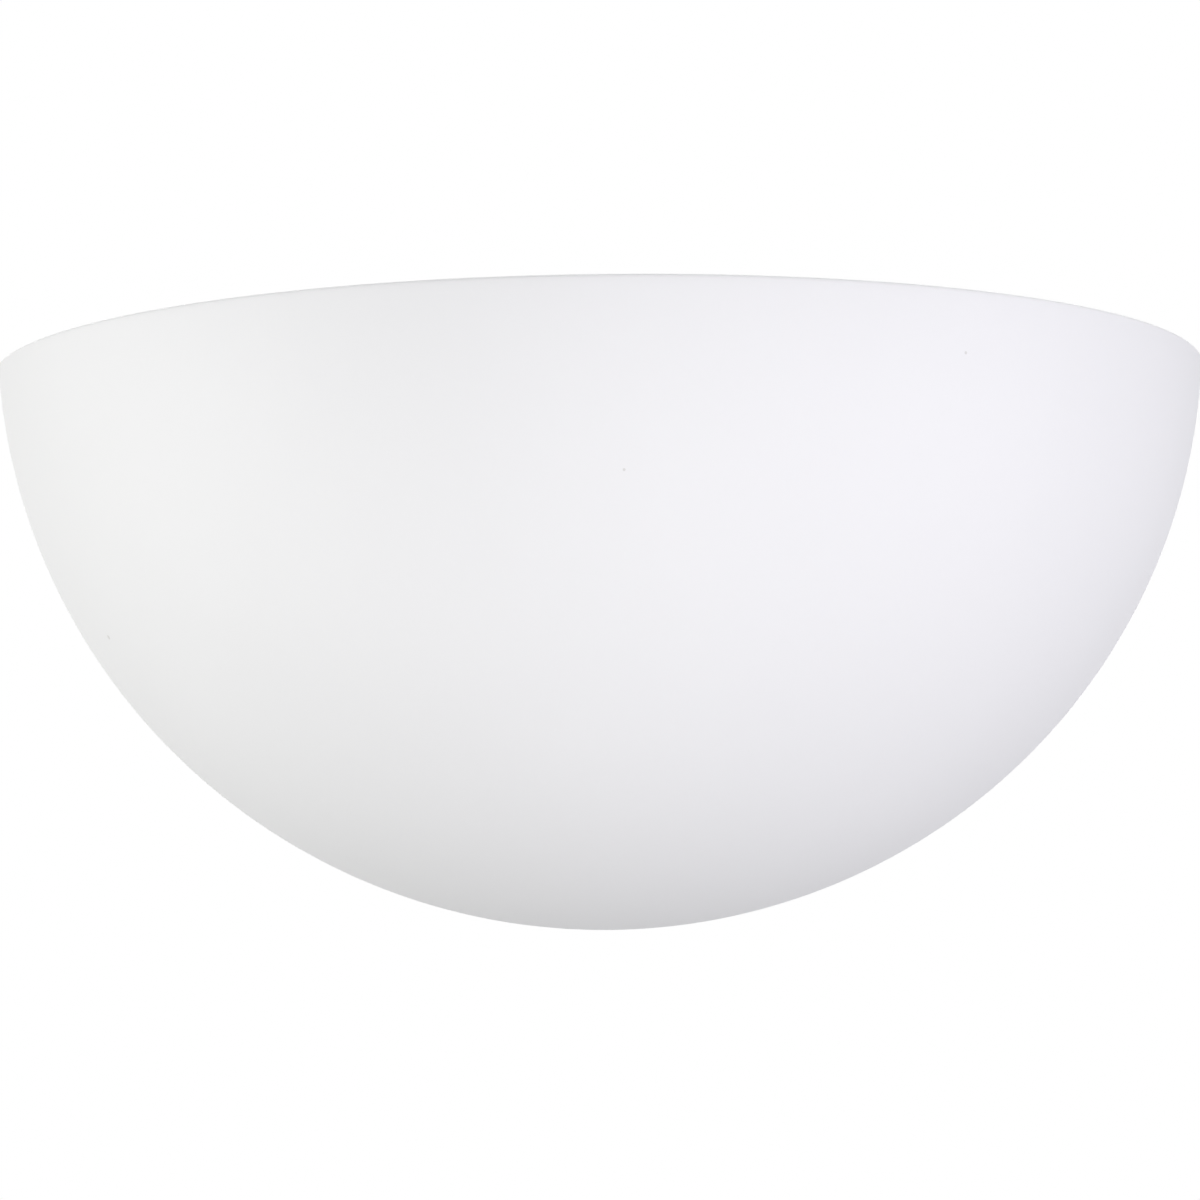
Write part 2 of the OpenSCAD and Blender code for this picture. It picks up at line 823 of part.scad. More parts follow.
module socket_body() {
  outer_r = socket_d / 2;
  color([0.95, 0.94, 0.91])
    along_lamp()
      difference() {
        union() {
          translate([0, 0, body_start])
            cylinder(h = socket_cap_length - body_start + 0.5, r = spigot_r);
          translate([0, 0, socket_cap_length])
            cylinder(h = socket_body_length - 1.5, r = outer_r);
          translate([0, 0, body_end - 1.5])
            cylinder(h = 1.5, r1 = outer_r, r2 = outer_r - 1.2);
        }
        translate([0, 0, floor_top])
          cylinder(h = socket_body_length, r = body_bore_r);
        translate([0, 0, body_start - 1])
          cylinder(h = socket_floor + 2, r = shell_rivet_r + shaft_gap);
        for (x = [-1, 1])
          translate([x * shell_rivet_place, 0, body_start - 1])
            cylinder(h = socket_floor + 2, r = shell_rivet_r + shaft_gap);
      }
}

module socket_screw_shell() {
  color([0.83, 0.8, 0.7])
    along_lamp()
      difference() {
        translate([0, 0, floor_top])
          cylinder(h = screw_shell_end - floor_top, r = screw_shell_r);
        threaded_rod(thread_mean_r + thread_gap, floor_top + screw_shell_floor, screw_shell_end + 1);
        translate([0, 0, floor_top - 1])
          cylinder(h = screw_shell_floor + 2, r = screw_shell_hole);
        for (x = [-1, 1])
          translate([x * shell_rivet_place, 0, floor_top - 1])
            cylinder(h = screw_shell_floor + 2, r = shell_rivet_r + shaft_gap);
      }
}

module screw_shell_rivets() {
  color([0.83, 0.7, 0.42])
    for (x = [-1, 1])
      let (terminal_grip = x > 0 ? terminal_gauge : 0)
        along_lamp(body_start - terminal_grip)
          translate([x * shell_rivet_place, 0, 0])
            rivet(
              shell_rivet_r, shell_rivet_head_r, shell_rivet_head_thick,
              socket_floor + screw_shell_floor + terminal_grip, shell_rivet_head_r, shell_rivet_head_thick
            );
}

// A brass strip, folded back over itself so that its tongue springs against the lamp's contact
module socket_contact() {
  g = contact_gauge;
  color([0.85, 0.7, 0.4])
    along_lamp(floor_top)
      difference() {
        rotate([90, 0, 0])
          linear_extrude(contact_width, center = true)
            polygon([
              [-contact_half, 0],
              [contact_half, 0],
              [contact_half, g],
              [-contact_half + g, g],
              [-contact_half + g, contact_rise - 2 * g],
              [contact_half - 1, contact_rise - g],
              [contact_half - 1, contact_rise],
              [-contact_half, contact_rise - g]
            ]);
        translate([0, 0, -1])
          cylinder(h = g + 1.5, r = shell_rivet_r + shaft_gap);
      }
}

module contact_rivet() {
  color([0.83, 0.7, 0.42])
    along_lamp(body_start - terminal_gauge)
      rivet(
        shell_rivet_r, shell_rivet_head_r, shell_rivet_head_thick,
        terminal_gauge + socket_floor + contact_gauge, shell_rivet_head_r, shell_rivet_head_thick
      );
}

// A flat strip under the socket's floor, held by the rivet at `rivet_place`
module terminal(from, to, rivet_place) {
  along_lamp(body_start - terminal_gauge)
    difference() {
      translate([from, -terminal_width / 2, 0])
        cube([to - from, terminal_width, terminal_gauge]);
      translate([rivet_place, 0, -1])
        cylinder(h = terminal_gauge + 2, r = shell_rivet_r + shaft_gap);
    }
}

module shell_terminal() {
  color([0.8, 0.8, 0.8])
    terminal(terminal_parting, shell_rivet_place + shell_rivet_head_r, shell_rivet_place);
}

module contact_terminal() {
  color([0.85, 0.7, 0.4])
    terminal(-terminal_end, shell_rivet_head_r, 0);
}

module black_lead() {
  color([0.08, 0.08, 0.09])
    tube(smooth_route(lead_route(1), lead_steps), lead_d / 2);
}

module white_lead() {
  color([0.9, 0.9, 0.88])
    tube(smooth_route(lead_route(-1), lead_steps), lead_d / 2);
}

// The lamp
module glass_outline(inset) {
  difference() {
    union() {
      translate([0, globe_at])
        circle(globe_r - inset);
      polygon([
        [0, stem_foot],
        [neck_r - inset, stem_foot],
        [neck_r - inset, collar_end],
        [shoulder_r - inset, shoulder_at],
        [flare_end_r - inset * cos(flare_angle), flare_end + inset * sin(flare_angle)],
        [0, flare_end]
      ]);
    }
    translate([-reach, -reach / 2])
      square([reach, 2 * reach]);
  }
}

module lamp_glass_bulb() {
  color([0.95, 0.95, 0.93])
    along_lamp()
      difference() {
        rotate_extrude()
          glass_outline(0);
        rotate_extrude()
          glass_outline(lamp_glass);
      }
}

module lamp_screw_cap() {
  bore_r = thread_mean_r - lamp_thread_depth / 2 - screw_cap_wall;
  color([0.8, 0.8, 0.79])
    along_lamp()
      difference() {
        union() {
          threaded_rod(thread_mean_r, screw_cap_start, collar_start + 1);
          translate([0, 0, collar_start])
            cylinder(h = screw_cap_collar, r = lamp_thread_d / 2);
        }
        translate([0, 0, screw_cap_start + screw_cap_wall])
          cylinder(h = collar_end - screw_cap_start, r = bore_r);
        translate([0, 0, screw_cap_start - 1])
          cylinder(h = 2, r = insulator_r - 1);
      }
}

module lamp_insulator() {
  color([0.08, 0.07, 0.09])
    along_lamp(lamp_start + tip_contact_thick)
      cylinder(h = insulator_thick, r1 = insulator_r, r2 = thread_mean_r - lamp_thread_depth);
}

module lamp_contact() {
  color([0.75, 0.76, 0.78])
    along_lamp(lamp_start)
      cylinder(h = tip_contact_thick, r1 = tip_contact_r - 1.4, r2 = tip_contact_r);
}

module lamp_stem() {
  color([0.8, 0.86, 0.88])
    along_lamp(stem_foot)
      rotate_extrude()
        polygon([
          [0, 0],
          [stem_flare_r, 0],
          [stem_flare_r, stem_flare_edge],
          [stem_r + 1, stem_flare_end],
          [stem_r, stem_waist],
          [stem_r, stem_length - stem_shoulder],
          [stem_r - 1, stem_length],
          [0, stem_length]
        ]);
}

module lamp_filament_wires() {
  color([0.6, 0.6, 0.62])
    for (side = [-1, 1])
      along_lamp(stem_foot + stem_length + filament_wire_r * sin(wire_lean))
        translate([side * wire_foot, 0, 0])
          rotate([0, side * wire_lean, 0])
            cylinder(h = filament_rise / cos(wire_lean), r = filament_wire_r);
}

module lamp_filament() {
  wire_top = filament_rise + 2 * filament_wire_r * sin(wire_lean);
  color([0.35, 0.35, 0.38])
    along_lamp(stem_foot + stem_length + wire_top + filament_r)
      rotate([0, 90, 0])
        cylinder(h = 2 * filament_half, r = filament_r, center = true);
}

bowl_shell();
mounting_plate();
crossbar();
insulation_pad();
wire_bushing();
plate_screws();
plate_lock_washers();
bowl_studs();
left_nut_washer();
left_thumb_nut();
right_nut_washer();
right_thumb_nut();
ground_screw();
ground_wire();
socket_bracket();
bracket_rivets();
socket_nipple();
nipple_lock_washer();
nipple_nut();
socket_cap();
socket_body();
socket_screw_shell();
screw_shell_rivets();
socket_contact();
contact_rivet();
shell_terminal();
contact_terminal();
black_lead();
white_lead();
lamp_glass_bulb();
lamp_screw_cap();
lamp_insulator();
lamp_contact();
lamp_stem();
lamp_filament_wires();
lamp_filament();
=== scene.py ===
# %% [markdown]
# # A half-bowl wall sconce
#
# The lamp hides inside half of a fired-clay bowl, which is open at the top and lights the wall above it.
# This lesson dresses the measured model of the sconce. It makes the bowl, the socket, the lamp, the wires
# and the fastenings again with finer edges, gives each its own finish, and lights them as a catalogue
# photograph does. Everything is in metres. The wall is the plane y = 0, the front is -Y, and up is +Z.

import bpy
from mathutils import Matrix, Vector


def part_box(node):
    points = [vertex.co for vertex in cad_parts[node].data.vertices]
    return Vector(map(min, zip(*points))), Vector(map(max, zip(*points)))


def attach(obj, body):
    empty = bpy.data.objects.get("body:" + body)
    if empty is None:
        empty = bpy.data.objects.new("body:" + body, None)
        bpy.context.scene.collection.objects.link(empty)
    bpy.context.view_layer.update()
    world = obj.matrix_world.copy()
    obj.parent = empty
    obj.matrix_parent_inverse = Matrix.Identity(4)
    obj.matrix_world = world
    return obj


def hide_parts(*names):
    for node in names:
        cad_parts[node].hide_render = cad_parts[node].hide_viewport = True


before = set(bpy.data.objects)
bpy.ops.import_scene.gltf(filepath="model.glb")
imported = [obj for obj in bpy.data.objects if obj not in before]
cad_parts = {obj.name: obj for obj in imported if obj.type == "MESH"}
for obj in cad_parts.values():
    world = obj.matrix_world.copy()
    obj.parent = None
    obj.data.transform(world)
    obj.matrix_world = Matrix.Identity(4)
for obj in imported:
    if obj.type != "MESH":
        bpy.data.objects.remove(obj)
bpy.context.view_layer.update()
print("nodes:", len(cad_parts))

# %% [markdown]
# ## The shape of the bowl in three numbers
#
# The photograph shows the outline of one ball that is cut twice: flat across the top, and flat along the
# wall. A maker would throw or cast a whole bowl and cut it. Its width, depth and height are enough to
# find the ball again, so they are read from the measured model, and nothing has to be fitted by eye.

# %% Find the ball
import math
from mathutils import Matrix, Vector

low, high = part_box("bowl_shell")
half_width = round((high.x - low.x) / 2, 3)
bowl_depth = round(-low.y, 3)
bowl_height = round(high.z - low.z, 3)
rim = round(high.z, 3)
wall = 0.0055
ball_behind = (half_width**2 - bowl_depth**2) / (2 * bowl_depth)
ball_above = (half_width**2 - bowl_height**2) / (2 * bowl_height)
ball_r = math.sqrt(half_width**2 + ball_behind**2 + ball_above**2)
ball = Vector((0, ball_behind, rim + ball_above))
print("ball radius %.1f mm, centre %s" % (1000 * ball_r, [round(1000 * v, 1) for v in ball]))

# %% [markdown]
# ## The camera
#
# The photograph looks slightly up at the bowl, almost square from the front, from about a metre and a
# half. The angle, the distance and the small roll come from fitting the bowl's outline to the
# photograph's. A camera could also be pointed by a constraint, but plain numbers are easy to read and
# change.

# %% Place the camera
import bpy

look_at = Vector((-0.00385, -0.060, -0.00939))
turn, rise, roll = (math.radians(v) for v in (-2.31, -6.775, -0.717))
distance = 1.5
pixels_per_metre = 3959.7
film_width, picture_width = 36, 1200

back = Vector((math.sin(turn) * math.cos(rise), -math.cos(turn) * math.cos(rise), math.sin(rise)))
camera_data = bpy.data.cameras.new("camera")
camera_data.sensor_width = film_width
camera_data.lens = film_width * pixels_per_metre * distance / picture_width
camera = bpy.data.objects.new("camera", camera_data)
bpy.context.scene.collection.objects.link(camera)
right = (-back).cross(Vector((0, 0, 1))).normalized()
up = right.cross(-back)
leaned_right = math.cos(roll) * right + math.sin(roll) * up
leaned_up = -math.sin(roll) * right + math.cos(roll) * up
camera.matrix_world = Matrix((leaned_right, leaned_up, back)).transposed().to_4x4()
camera.location = look_at + back * distance
bpy.context.scene.camera = camera
print("lens %.1f mm" % camera_data.lens)

# %% [markdown]
# ## Working by hand, in code
#
# Blender's modelling tools act on whatever is selected. A few small helpers keep that under control: one
# opens a piece with nothing selected, one selects by place, one closes the piece with its place in its
# mesh, and one adds a modifier and applies it.

# %% Helpers for modelling
import bmesh

QUARTER = math.pi / 2


def clear_selection():
    if bpy.context.mode != "OBJECT":
        bpy.ops.object.mode_set(mode="OBJECT")
    bpy.ops.object.select_all(action="DESELECT")


def take(piece):
    clear_selection()
    bpy.context.view_layer.objects.active = piece
    piece.select_set(True)


def apply_step(piece, kind, **settings):
    """Adds a modifier with its settings, and applies it."""
    take(piece)
    step = piece.modifiers.new(kind.lower(), kind)
    for key, value in settings.items():
        setattr(step, key, value)
    bpy.ops.object.modifier_apply(modifier=step.name)


def open_piece(piece, kind="FACE"):
    take(piece)
    bpy.ops.object.mode_set(mode="EDIT")
    bpy.ops.mesh.select_mode(type=kind)
    bpy.ops.mesh.select_all(action="DESELECT")


def middle(part):
    if isinstance(part, bmesh.types.BMVert):
        return part.co
    return sum((v.co for v in part.verts), Vector()) / len(part.verts)


def pick(piece, kind, test):
    """Selects the vertices, edges or faces whose middle passes the test."""
    bpy.ops.mesh.select_mode(type=kind)
    bpy.ops.mesh.select_all(action="DESELECT")
    mesh = bmesh.from_edit_mesh(piece.data)
    parts = {"VERT": mesh.verts, "EDGE": mesh.edges, "FACE": mesh.faces}[kind]
    chosen = [part for part in parts if test(middle(part))]
    for part in chosen:
        part.select_set(True)
    mesh.select_flush_mode()
    bmesh.update_edit_mesh(piece.data)


def close_piece(piece, smooth_under=35):
    """Merges doubles, turns the faces outwards, and leaves edit mode."""
    bpy.ops.mesh.select_all(action="SELECT")
    bpy.ops.mesh.remove_doubles(threshold=0.000002)
    bpy.ops.mesh.normals_make_consistent(inside=False)
    take(piece)
    bpy.ops.object.transform_apply(location=True, rotation=True, scale=True)
    bpy.ops.object.shade_smooth_by_angle(angle=math.radians(smooth_under))


def newest(name):
    piece = bpy.context.object
    piece.name = name
    piece.data.name = name
    bpy.ops.object.transform_apply(location=True, rotation=True, scale=True)
    return piece


def combine(piece, tool, operation):
    """Joins, cuts or keeps the shared part, and removes the tool."""
    apply_step(piece, "BOOLEAN", operation=operation, solver="EXACT", object=tool)
    bpy.data.objects.remove(tool)


def open_edges(piece):
    mesh = bmesh.new()
    mesh.from_mesh(piece.data)
    count = sum(1 for edge in mesh.edges if not edge.is_manifold)
    mesh.free()
    return count


# %% [markdown]
# ## The bowl's wall
#
# A clay bowl has the same thickness all over and a flat rim with softened edges, where the glaze draws
# thin. A sphere with a Solidify modifier would come close, but its rim would slant and its cut along the
# wall would too. So the section is drawn first, as a potter's template: a quarter arc, thickened inwards,
# made level at the rim and rounded there. It is then spun half a turn and cut just behind the wall's
# plane. The last cut, on that plane, comes after the lip and the ears are joined, so that all three end
# in one flat back.

# %% Draw the section
rim_edge = 0.001

clear_selection()
bpy.ops.mesh.primitive_circle_add(vertices=360, radius=ball_r, location=ball, rotation=(QUARTER, 0, 0))
bowl = newest("half_bowl")
open_piece(bowl, "VERT")
bpy.ops.mesh.select_all(action="SELECT")
bpy.ops.mesh.bisect(plane_co=(0, 0, rim), plane_no=(0, 0, 1), clear_outer=True)
bpy.ops.mesh.select_all(action="SELECT")
bpy.ops.mesh.bisect(plane_co=(0, 0, 0), plane_no=(1, 0, 0), clear_inner=True)
pick(bowl, "VERT", lambda p: rim - 0.002 < p.z < rim - 0.0001)
bpy.ops.mesh.dissolve_verts()
bpy.ops.mesh.select_all(action="SELECT")
bpy.ops.mesh.extrude_region_move()
thinner = (ball_r - wall) / ball_r
bpy.ops.transform.resize(value=(thinner, thinner, thinner), center_override=ball)
pick(bowl, "VERT", lambda p: p.z > rim - 0.0005)
bpy.ops.transform.resize(value=(1, 1, 0), center_override=(0, 0, rim))
bpy.ops.mesh.bevel(offset=rim_edge, segments=5, profile=0.5, affect="VERTICES")
print("section points:", len(bmesh.from_edit_mesh(bowl.data).verts))

# %% Spin it and cut it along the wall
bpy.ops.mesh.select_all(action="SELECT")
bpy.ops.mesh.spin(steps=208, angle=math.pi, center=ball, axis=(0, 0, 1))
bpy.ops.mesh.select_all(action="SELECT")
bpy.ops.mesh.bisect(plane_co=(0, 0.004, 0), plane_no=(0, 1, 0), clear_outer=True, use_fill=True)
close_piece(bowl)
print("bowl faces:", len(bowl.data.polygons), "open edges:", open_edges(bowl))

# %% [markdown]
# ## The lip that lies on the wall
#
# Behind, the clay turns inwards in a flat lip, so that the bowl meets the wall cleanly and doesn't rock.
# It is part of the same casting. A ring is drawn on the wall's plane, given its thickness, cut level
# under the rim, and joined to the bowl with a Boolean modifier.

# %% Make the lip
lip_width, lip_thick = 0.012, 0.0055
inner_section = math.sqrt((ball_r - wall) ** 2 - ball_behind**2)
lip_inner = inner_section - lip_width
lip_outer = inner_section + 0.002

clear_selection()
past_wall = 0.006
lip_centre = (0, past_wall, ball.z)
bpy.ops.mesh.primitive_circle_add(vertices=256, radius=lip_outer, location=lip_centre,
                                  rotation=(QUARTER, 0, 0))
lip = newest("lip")
open_piece(lip, "EDGE")
bpy.ops.mesh.select_all(action="SELECT")
bpy.ops.mesh.extrude_region_move()
narrower = lip_inner / lip_outer
bpy.ops.transform.resize(value=(narrower, narrower, narrower), center_override=lip_centre)
bpy.ops.mesh.select_all(action="SELECT")
bpy.ops.mesh.extrude_region_move(TRANSFORM_OT_translate={"value": (0, -lip_thick - past_wall, 0)})
bpy.ops.mesh.select_all(action="SELECT")
bpy.ops.mesh.bisect(plane_co=(0, 0, rim - 0.004), plane_no=(0, 0, 1), clear_outer=True, use_fill=True)
close_piece(lip)
print("lip open edges:", open_edges(lip))

# %% [markdown]
# ## The ears that hang on the studs
#
# Inside, at each side, a block of clay reaches in from the wall of the bowl. A notch in it drops over a
# stud of the mounting plate, and a thumb nut clamps it. Each ear starts as a block, gets its notch from a
# round-topped cutter, loses its sharp edges to a Bevel modifier, and is trimmed to the inside of the wall
# by a ball.

# %% Make the ears
stud_x, stud_z, stud_r = 0.118, 0.030, 0.0024
ear_back, ear_front = 0.0138, 0.0218
notch_r = stud_r + 0.0008
notch_top = stud_z + stud_r + 0.0003
notch_length = 0.03


def soften(piece, width, segments=3, limit=40):
    """Rounds every edge that is sharper than the limit."""
    apply_step(piece, "BEVEL", width=width, segments=segments, limit_method="ANGLE",
               angle_limit=math.radians(limit))


def make_ear(side):
    clear_selection()
    ear_low, ear_high = stud_z - 0.011, stud_z + 0.013
    start, end = stud_x - 0.012, stud_x + 0.042
    centre = (side * (start + end) / 2, -(ear_back + ear_front) / 2, (ear_low + ear_high) / 2)
    bpy.ops.mesh.primitive_cube_add(size=1, location=centre,
                                    scale=(end - start, ear_front - ear_back, ear_high - ear_low))
    ear = newest("ear")
    clear_selection()
    notch_centre = (side * stud_x, -(ear_back + ear_front) / 2, notch_top - notch_r)
    bpy.ops.mesh.primitive_cylinder_add(vertices=48, radius=notch_r, depth=notch_length,
                                        location=notch_centre, rotation=(QUARTER, 0, 0))
    cutter = newest("notch cutter")
    open_piece(cutter, "FACE")
    pick(cutter, "FACE", lambda p: p.z < notch_centre[2] - 0.0001 and abs(p.y - notch_centre[1]) < 0.001)
    bpy.ops.mesh.extrude_region_move(TRANSFORM_OT_translate={"value": (0, 0, -notch_length)})
    close_piece(cutter)
    combine(ear, cutter, "DIFFERENCE")
    soften(ear, 0.0009)
    clear_selection()
    inside_r = ball_r - 0.6 * wall
    bpy.ops.mesh.primitive_uv_sphere_add(segments=160, ring_count=80, radius=inside_r, location=ball)
    trim = newest("trim ball")
    combine(ear, trim, "INTERSECT")
    return ear


for side in (-1, 1):
    combine(bowl, make_ear(side), "UNION")
combine(bowl, lip, "UNION")
open_piece(bowl)
bpy.ops.mesh.select_all(action="SELECT")
bpy.ops.mesh.bisect(plane_co=(0, 0, 0), plane_no=(0, 1, 0), clear_outer=True, use_fill=True,
                    threshold=0.000001)
close_piece(bowl)
print("bowl faces:", len(bowl.data.polygons), "open edges:", open_edges(bowl))
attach(bowl, "bowl")
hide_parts("bowl_shell")

# %% [markdown]
# ## How a finish is built here
#
# Each finish is one Principled shader. Patterns come from the object's own coordinates, so they sit still
# on the piece and keep their size, and they are mixed into colour, roughness and bump. Numbers that are
# the same all over are typed on the shader itself.

# %% Helpers for finishes


def new_finish(name, colour, roughness, metallic=0.0):
    material = bpy.data.materials.new(name)
    material.use_nodes = True
    material.diffuse_color = (*colour, 1)
    nodes = material.node_tree.nodes
    shader = nodes["Principled BSDF"]
    shader.inputs["Base Color"].default_value = (*colour, 1)
    shader.inputs["Roughness"].default_value = roughness
    shader.inputs["Metallic"].default_value = metallic
    return material, nodes, material.node_tree.links, shader


def pattern(material, kind="Noise", stretch=(1, 1, 1), **settings):
    """A texture on the piece's own coordinates, in features per metre."""
    nodes, links = material.node_tree.nodes, material.node_tree.links
    place = nodes.new("ShaderNodeTexCoord")
    fit = nodes.new("ShaderNodeMapping")
    fit.inputs["Scale"].default_value = stretch
    texture = nodes.new("ShaderNodeTex" + kind)
    links.new(place.outputs["Object"], fit.inputs["Vector"])
    links.new(fit.outputs["Vector"], texture.inputs["Vector"])
    for key, value in settings.items():
        texture.inputs[key].default_value = value
    return texture


def blend(material, amount, dark, light, start=0.0, end=1.0):
    """A colour ramp from dark to light, driven by a pattern's value."""
    ramp = material.node_tree.nodes.new("ShaderNodeValToRGB")
    ramp.color_ramp.elements[0].position = start
    ramp.color_ramp.elements[0].color = (*dark, 1)
    ramp.color_ramp.elements[1].position = end
    ramp.color_ramp.elements[1].color = (*light, 1)
    material.node_tree.links.new(amount, ramp.inputs["Fac"])
    return ramp.outputs["Color"]


def between(material, amount, low_value, high_value):
    """A number that a pattern moves between two values."""
    node = material.node_tree.nodes.new("ShaderNodeMapRange")
    node.inputs["To Min"].default_value = low_value
    node.inputs["To Max"].default_value = high_value
    material.node_tree.links.new(amount, node.inputs["Value"])
    return node.outputs["Result"]


def relief(material, height, depth, strength=1.0, under=None):
    """A bump whose full height is `depth` metres."""
    node = material.node_tree.nodes.new("ShaderNodeBump")
    node.inputs["Distance"].default_value = depth
    node.inputs["Strength"].default_value = strength
    material.node_tree.links.new(height, node.inputs["Height"])
    if under:
        material.node_tree.links.new(under, node.inputs["Normal"])
    return node.outputs["Normal"]


# %% [markdown]
# ## Matt white fired clay
#
# The bowl is unglazed or thinly glazed white clay: nearly white, with a soft sheen and no mirror
# reflections. Close up it has a fine grain, a very slight unevenness from the mould, and a few pinhead
# specks. Three patterns make these: slow noise for the unevenness, fine noise for the grain, and sparse
# Voronoi cells for the specks.

# %% Make the clay finish


def clay_finish():
    material, nodes, links, shader = new_finish("matt white clay", (0.86, 0.86, 0.86), 0.6)
    slow = pattern(material, Scale=9.0, Detail=3.0, Roughness=0.5)
    grain = pattern(material, Scale=1400.0, Detail=3.0, Roughness=0.6)
    cells = pattern(material, "Voronoi", Scale=70.0)
    speck = nodes.new("ShaderNodeMath")
    speck.operation = "LESS_THAN"
    speck.inputs[1].default_value = 0.045
    links.new(cells.outputs["Distance"], speck.inputs[0])
    rare = nodes.new("ShaderNodeMath")
    rare.operation = "MULTIPLY"
    chance = nodes.new("ShaderNodeSeparateColor")
    links.new(cells.outputs["Color"], chance.inputs["Color"])
    few = nodes.new("ShaderNodeMath")
    few.operation = "GREATER_THAN"
    few.inputs[1].default_value = 0.93
    links.new(chance.outputs["Red"], few.inputs[0])
    links.new(speck.outputs["Value"], rare.inputs[0])
    links.new(few.outputs["Value"], rare.inputs[1])
    tone = blend(material, slow.outputs["Fac"], (0.852, 0.852, 0.852), (0.868, 0.868, 0.868), 0.3, 0.7)
    spotted = nodes.new("ShaderNodeMix")
    spotted.data_type = "RGBA"
    links.new(rare.outputs["Value"], spotted.inputs["Factor"])
    links.new(tone, spotted.inputs["A"])
    spotted.inputs["B"].default_value = (0.72, 0.715, 0.7, 1)
    links.new(spotted.outputs["Result"], shader.inputs["Base Color"])
    links.new(between(material, grain.outputs["Fac"], 0.54, 0.66), shader.inputs["Roughness"])
    uneven = relief(material, slow.outputs["Fac"], 0.0012, 0.25)
    links.new(relief(material, grain.outputs["Fac"], 0.00004, 0.5, uneven), shader.inputs["Normal"])
    shader.inputs["Specular IOR Level"].default_value = 0.25
    return material


bowl.data.materials.clear()
bowl.data.materials.append(clay_finish())

# %% [markdown]
# ## Metal, porcelain, glass and wire
#
# Zinc plating grows in pale crystals. Steel, brass, nickel and copper have a cloudy tone and fine marks.
# Glazed porcelain is glossy with a warm white body, fibre paper is felted, and wire skins and paint have
# a soft gloss. A picture of each would do as well, but patterns stay sharp however near the camera comes.

# %% Make the metal finishes


def metal_finish(name, dark, light, roughness, mottle=60.0):
    """A cloudy metal with fine marks in its gloss."""
    material, nodes, links, shader = new_finish(name, light, roughness, 1.0)
    cloud = pattern(material, Scale=mottle, Detail=4.0, Roughness=0.6)
    fine = pattern(material, Scale=900.0, Detail=2.0)
    links.new(blend(material, cloud.outputs["Fac"], dark, light, 0.3, 0.7), shader.inputs["Base Color"])
    uneven = between(material, fine.outputs["Fac"], roughness * 0.75, roughness * 1.3)
    links.new(uneven, shader.inputs["Roughness"])
    links.new(relief(material, fine.outputs["Fac"], 0.00001, 0.4), shader.inputs["Normal"])
    return material


def plated_finish():
    """Zinc grows in small crystals, each a little brighter or duller than the next."""
    material, nodes, links, shader = new_finish("zinc plating", (0.58, 0.59, 0.61), 0.34, 1.0)
    crystals = pattern(material, "Voronoi", Scale=240.0)
    scratches = pattern(material, stretch=(1, 1, 12), Scale=500.0, Detail=3.0)
    chance = nodes.new("ShaderNodeSeparateColor")
    links.new(crystals.outputs["Color"], chance.inputs["Color"])
    tone = blend(material, chance.outputs["Red"], (0.5, 0.51, 0.535), (0.64, 0.645, 0.66))
    links.new(tone, shader.inputs["Base Color"])
    links.new(between(material, chance.outputs["Green"], 0.29, 0.43), shader.inputs["Roughness"])
    links.new(relief(material, scratches.outputs["Fac"], 0.00002, 0.4), shader.inputs["Normal"])
    return material


zinc = plated_finish()
steel = metal_finish("bright steel", (0.6, 0.6, 0.6), (0.72, 0.72, 0.71), 0.27)
brass = metal_finish("brass", (0.62, 0.43, 0.18), (0.8, 0.6, 0.3), 0.3, mottle=90)
nickel = metal_finish("nickel plating", (0.62, 0.6, 0.57), (0.74, 0.72, 0.69), 0.22)
copper = metal_finish("bare copper", (0.55, 0.25, 0.14), (0.76, 0.41, 0.26), 0.33, mottle=120)
tungsten = metal_finish("tungsten wire", (0.16, 0.16, 0.17), (0.28, 0.28, 0.3), 0.5)

# %% Make the porcelain, glass, fibre, plastic and paint finishes


def plain_finish(name, dark, light, rough_low, rough_high, grain=500.0, depth=0.00003, **sockets):
    """A finish that isn't metal: a slow cloud in its colour, and a fine grain in its gloss and relief."""
    material, nodes, links, shader = new_finish(name, light, rough_low)
    cloud = pattern(material, Scale=25.0, Detail=4.0)
    fine = pattern(material, Scale=grain, Detail=3.0)
    links.new(blend(material, cloud.outputs["Fac"], dark, light, 0.3, 0.7), shader.inputs["Base Color"])
    links.new(between(material, fine.outputs["Fac"], rough_low, rough_high), shader.inputs["Roughness"])
    links.new(relief(material, fine.outputs["Fac"], depth, 0.4), shader.inputs["Normal"])
    for key, value in sockets.items():
        shader.inputs[key.replace("_", " ")].default_value = value
    return material


porcelain = plain_finish("glazed porcelain", (0.8, 0.775, 0.7), (0.87, 0.85, 0.79), 0.08, 0.16, 300, 0.00005,
                         Coat_Weight=0.6, Coat_Roughness=0.05)
fibre = plain_finish("felted fibre", (0.66, 0.64, 0.57), (0.86, 0.84, 0.79), 0.85, 0.98, 700, 0.0004)
bushing = plain_finish("black nylon", (0.018, 0.018, 0.02), (0.035, 0.035, 0.037), 0.35, 0.5)
green = plain_finish("green screw paint", (0.03, 0.22, 0.07), (0.06, 0.34, 0.13), 0.25, 0.4)
black_skin = plain_finish("black wire skin", (0.014, 0.014, 0.015), (0.03, 0.03, 0.03), 0.3, 0.42)
white_skin = plain_finish("white wire skin", (0.72, 0.72, 0.69), (0.82, 0.82, 0.79), 0.3, 0.42)
frosted = plain_finish("frosted lamp glass", (0.92, 0.92, 0.91), (0.96, 0.96, 0.95), 0.3, 0.42, 1200, 0.00002,
                       Transmission_Weight=0.06)
clear = plain_finish("clear stem glass", (0.86, 0.91, 0.9), (0.92, 0.96, 0.96), 0.02, 0.06, 200, 0.00002,
                     Transmission_Weight=0.95)
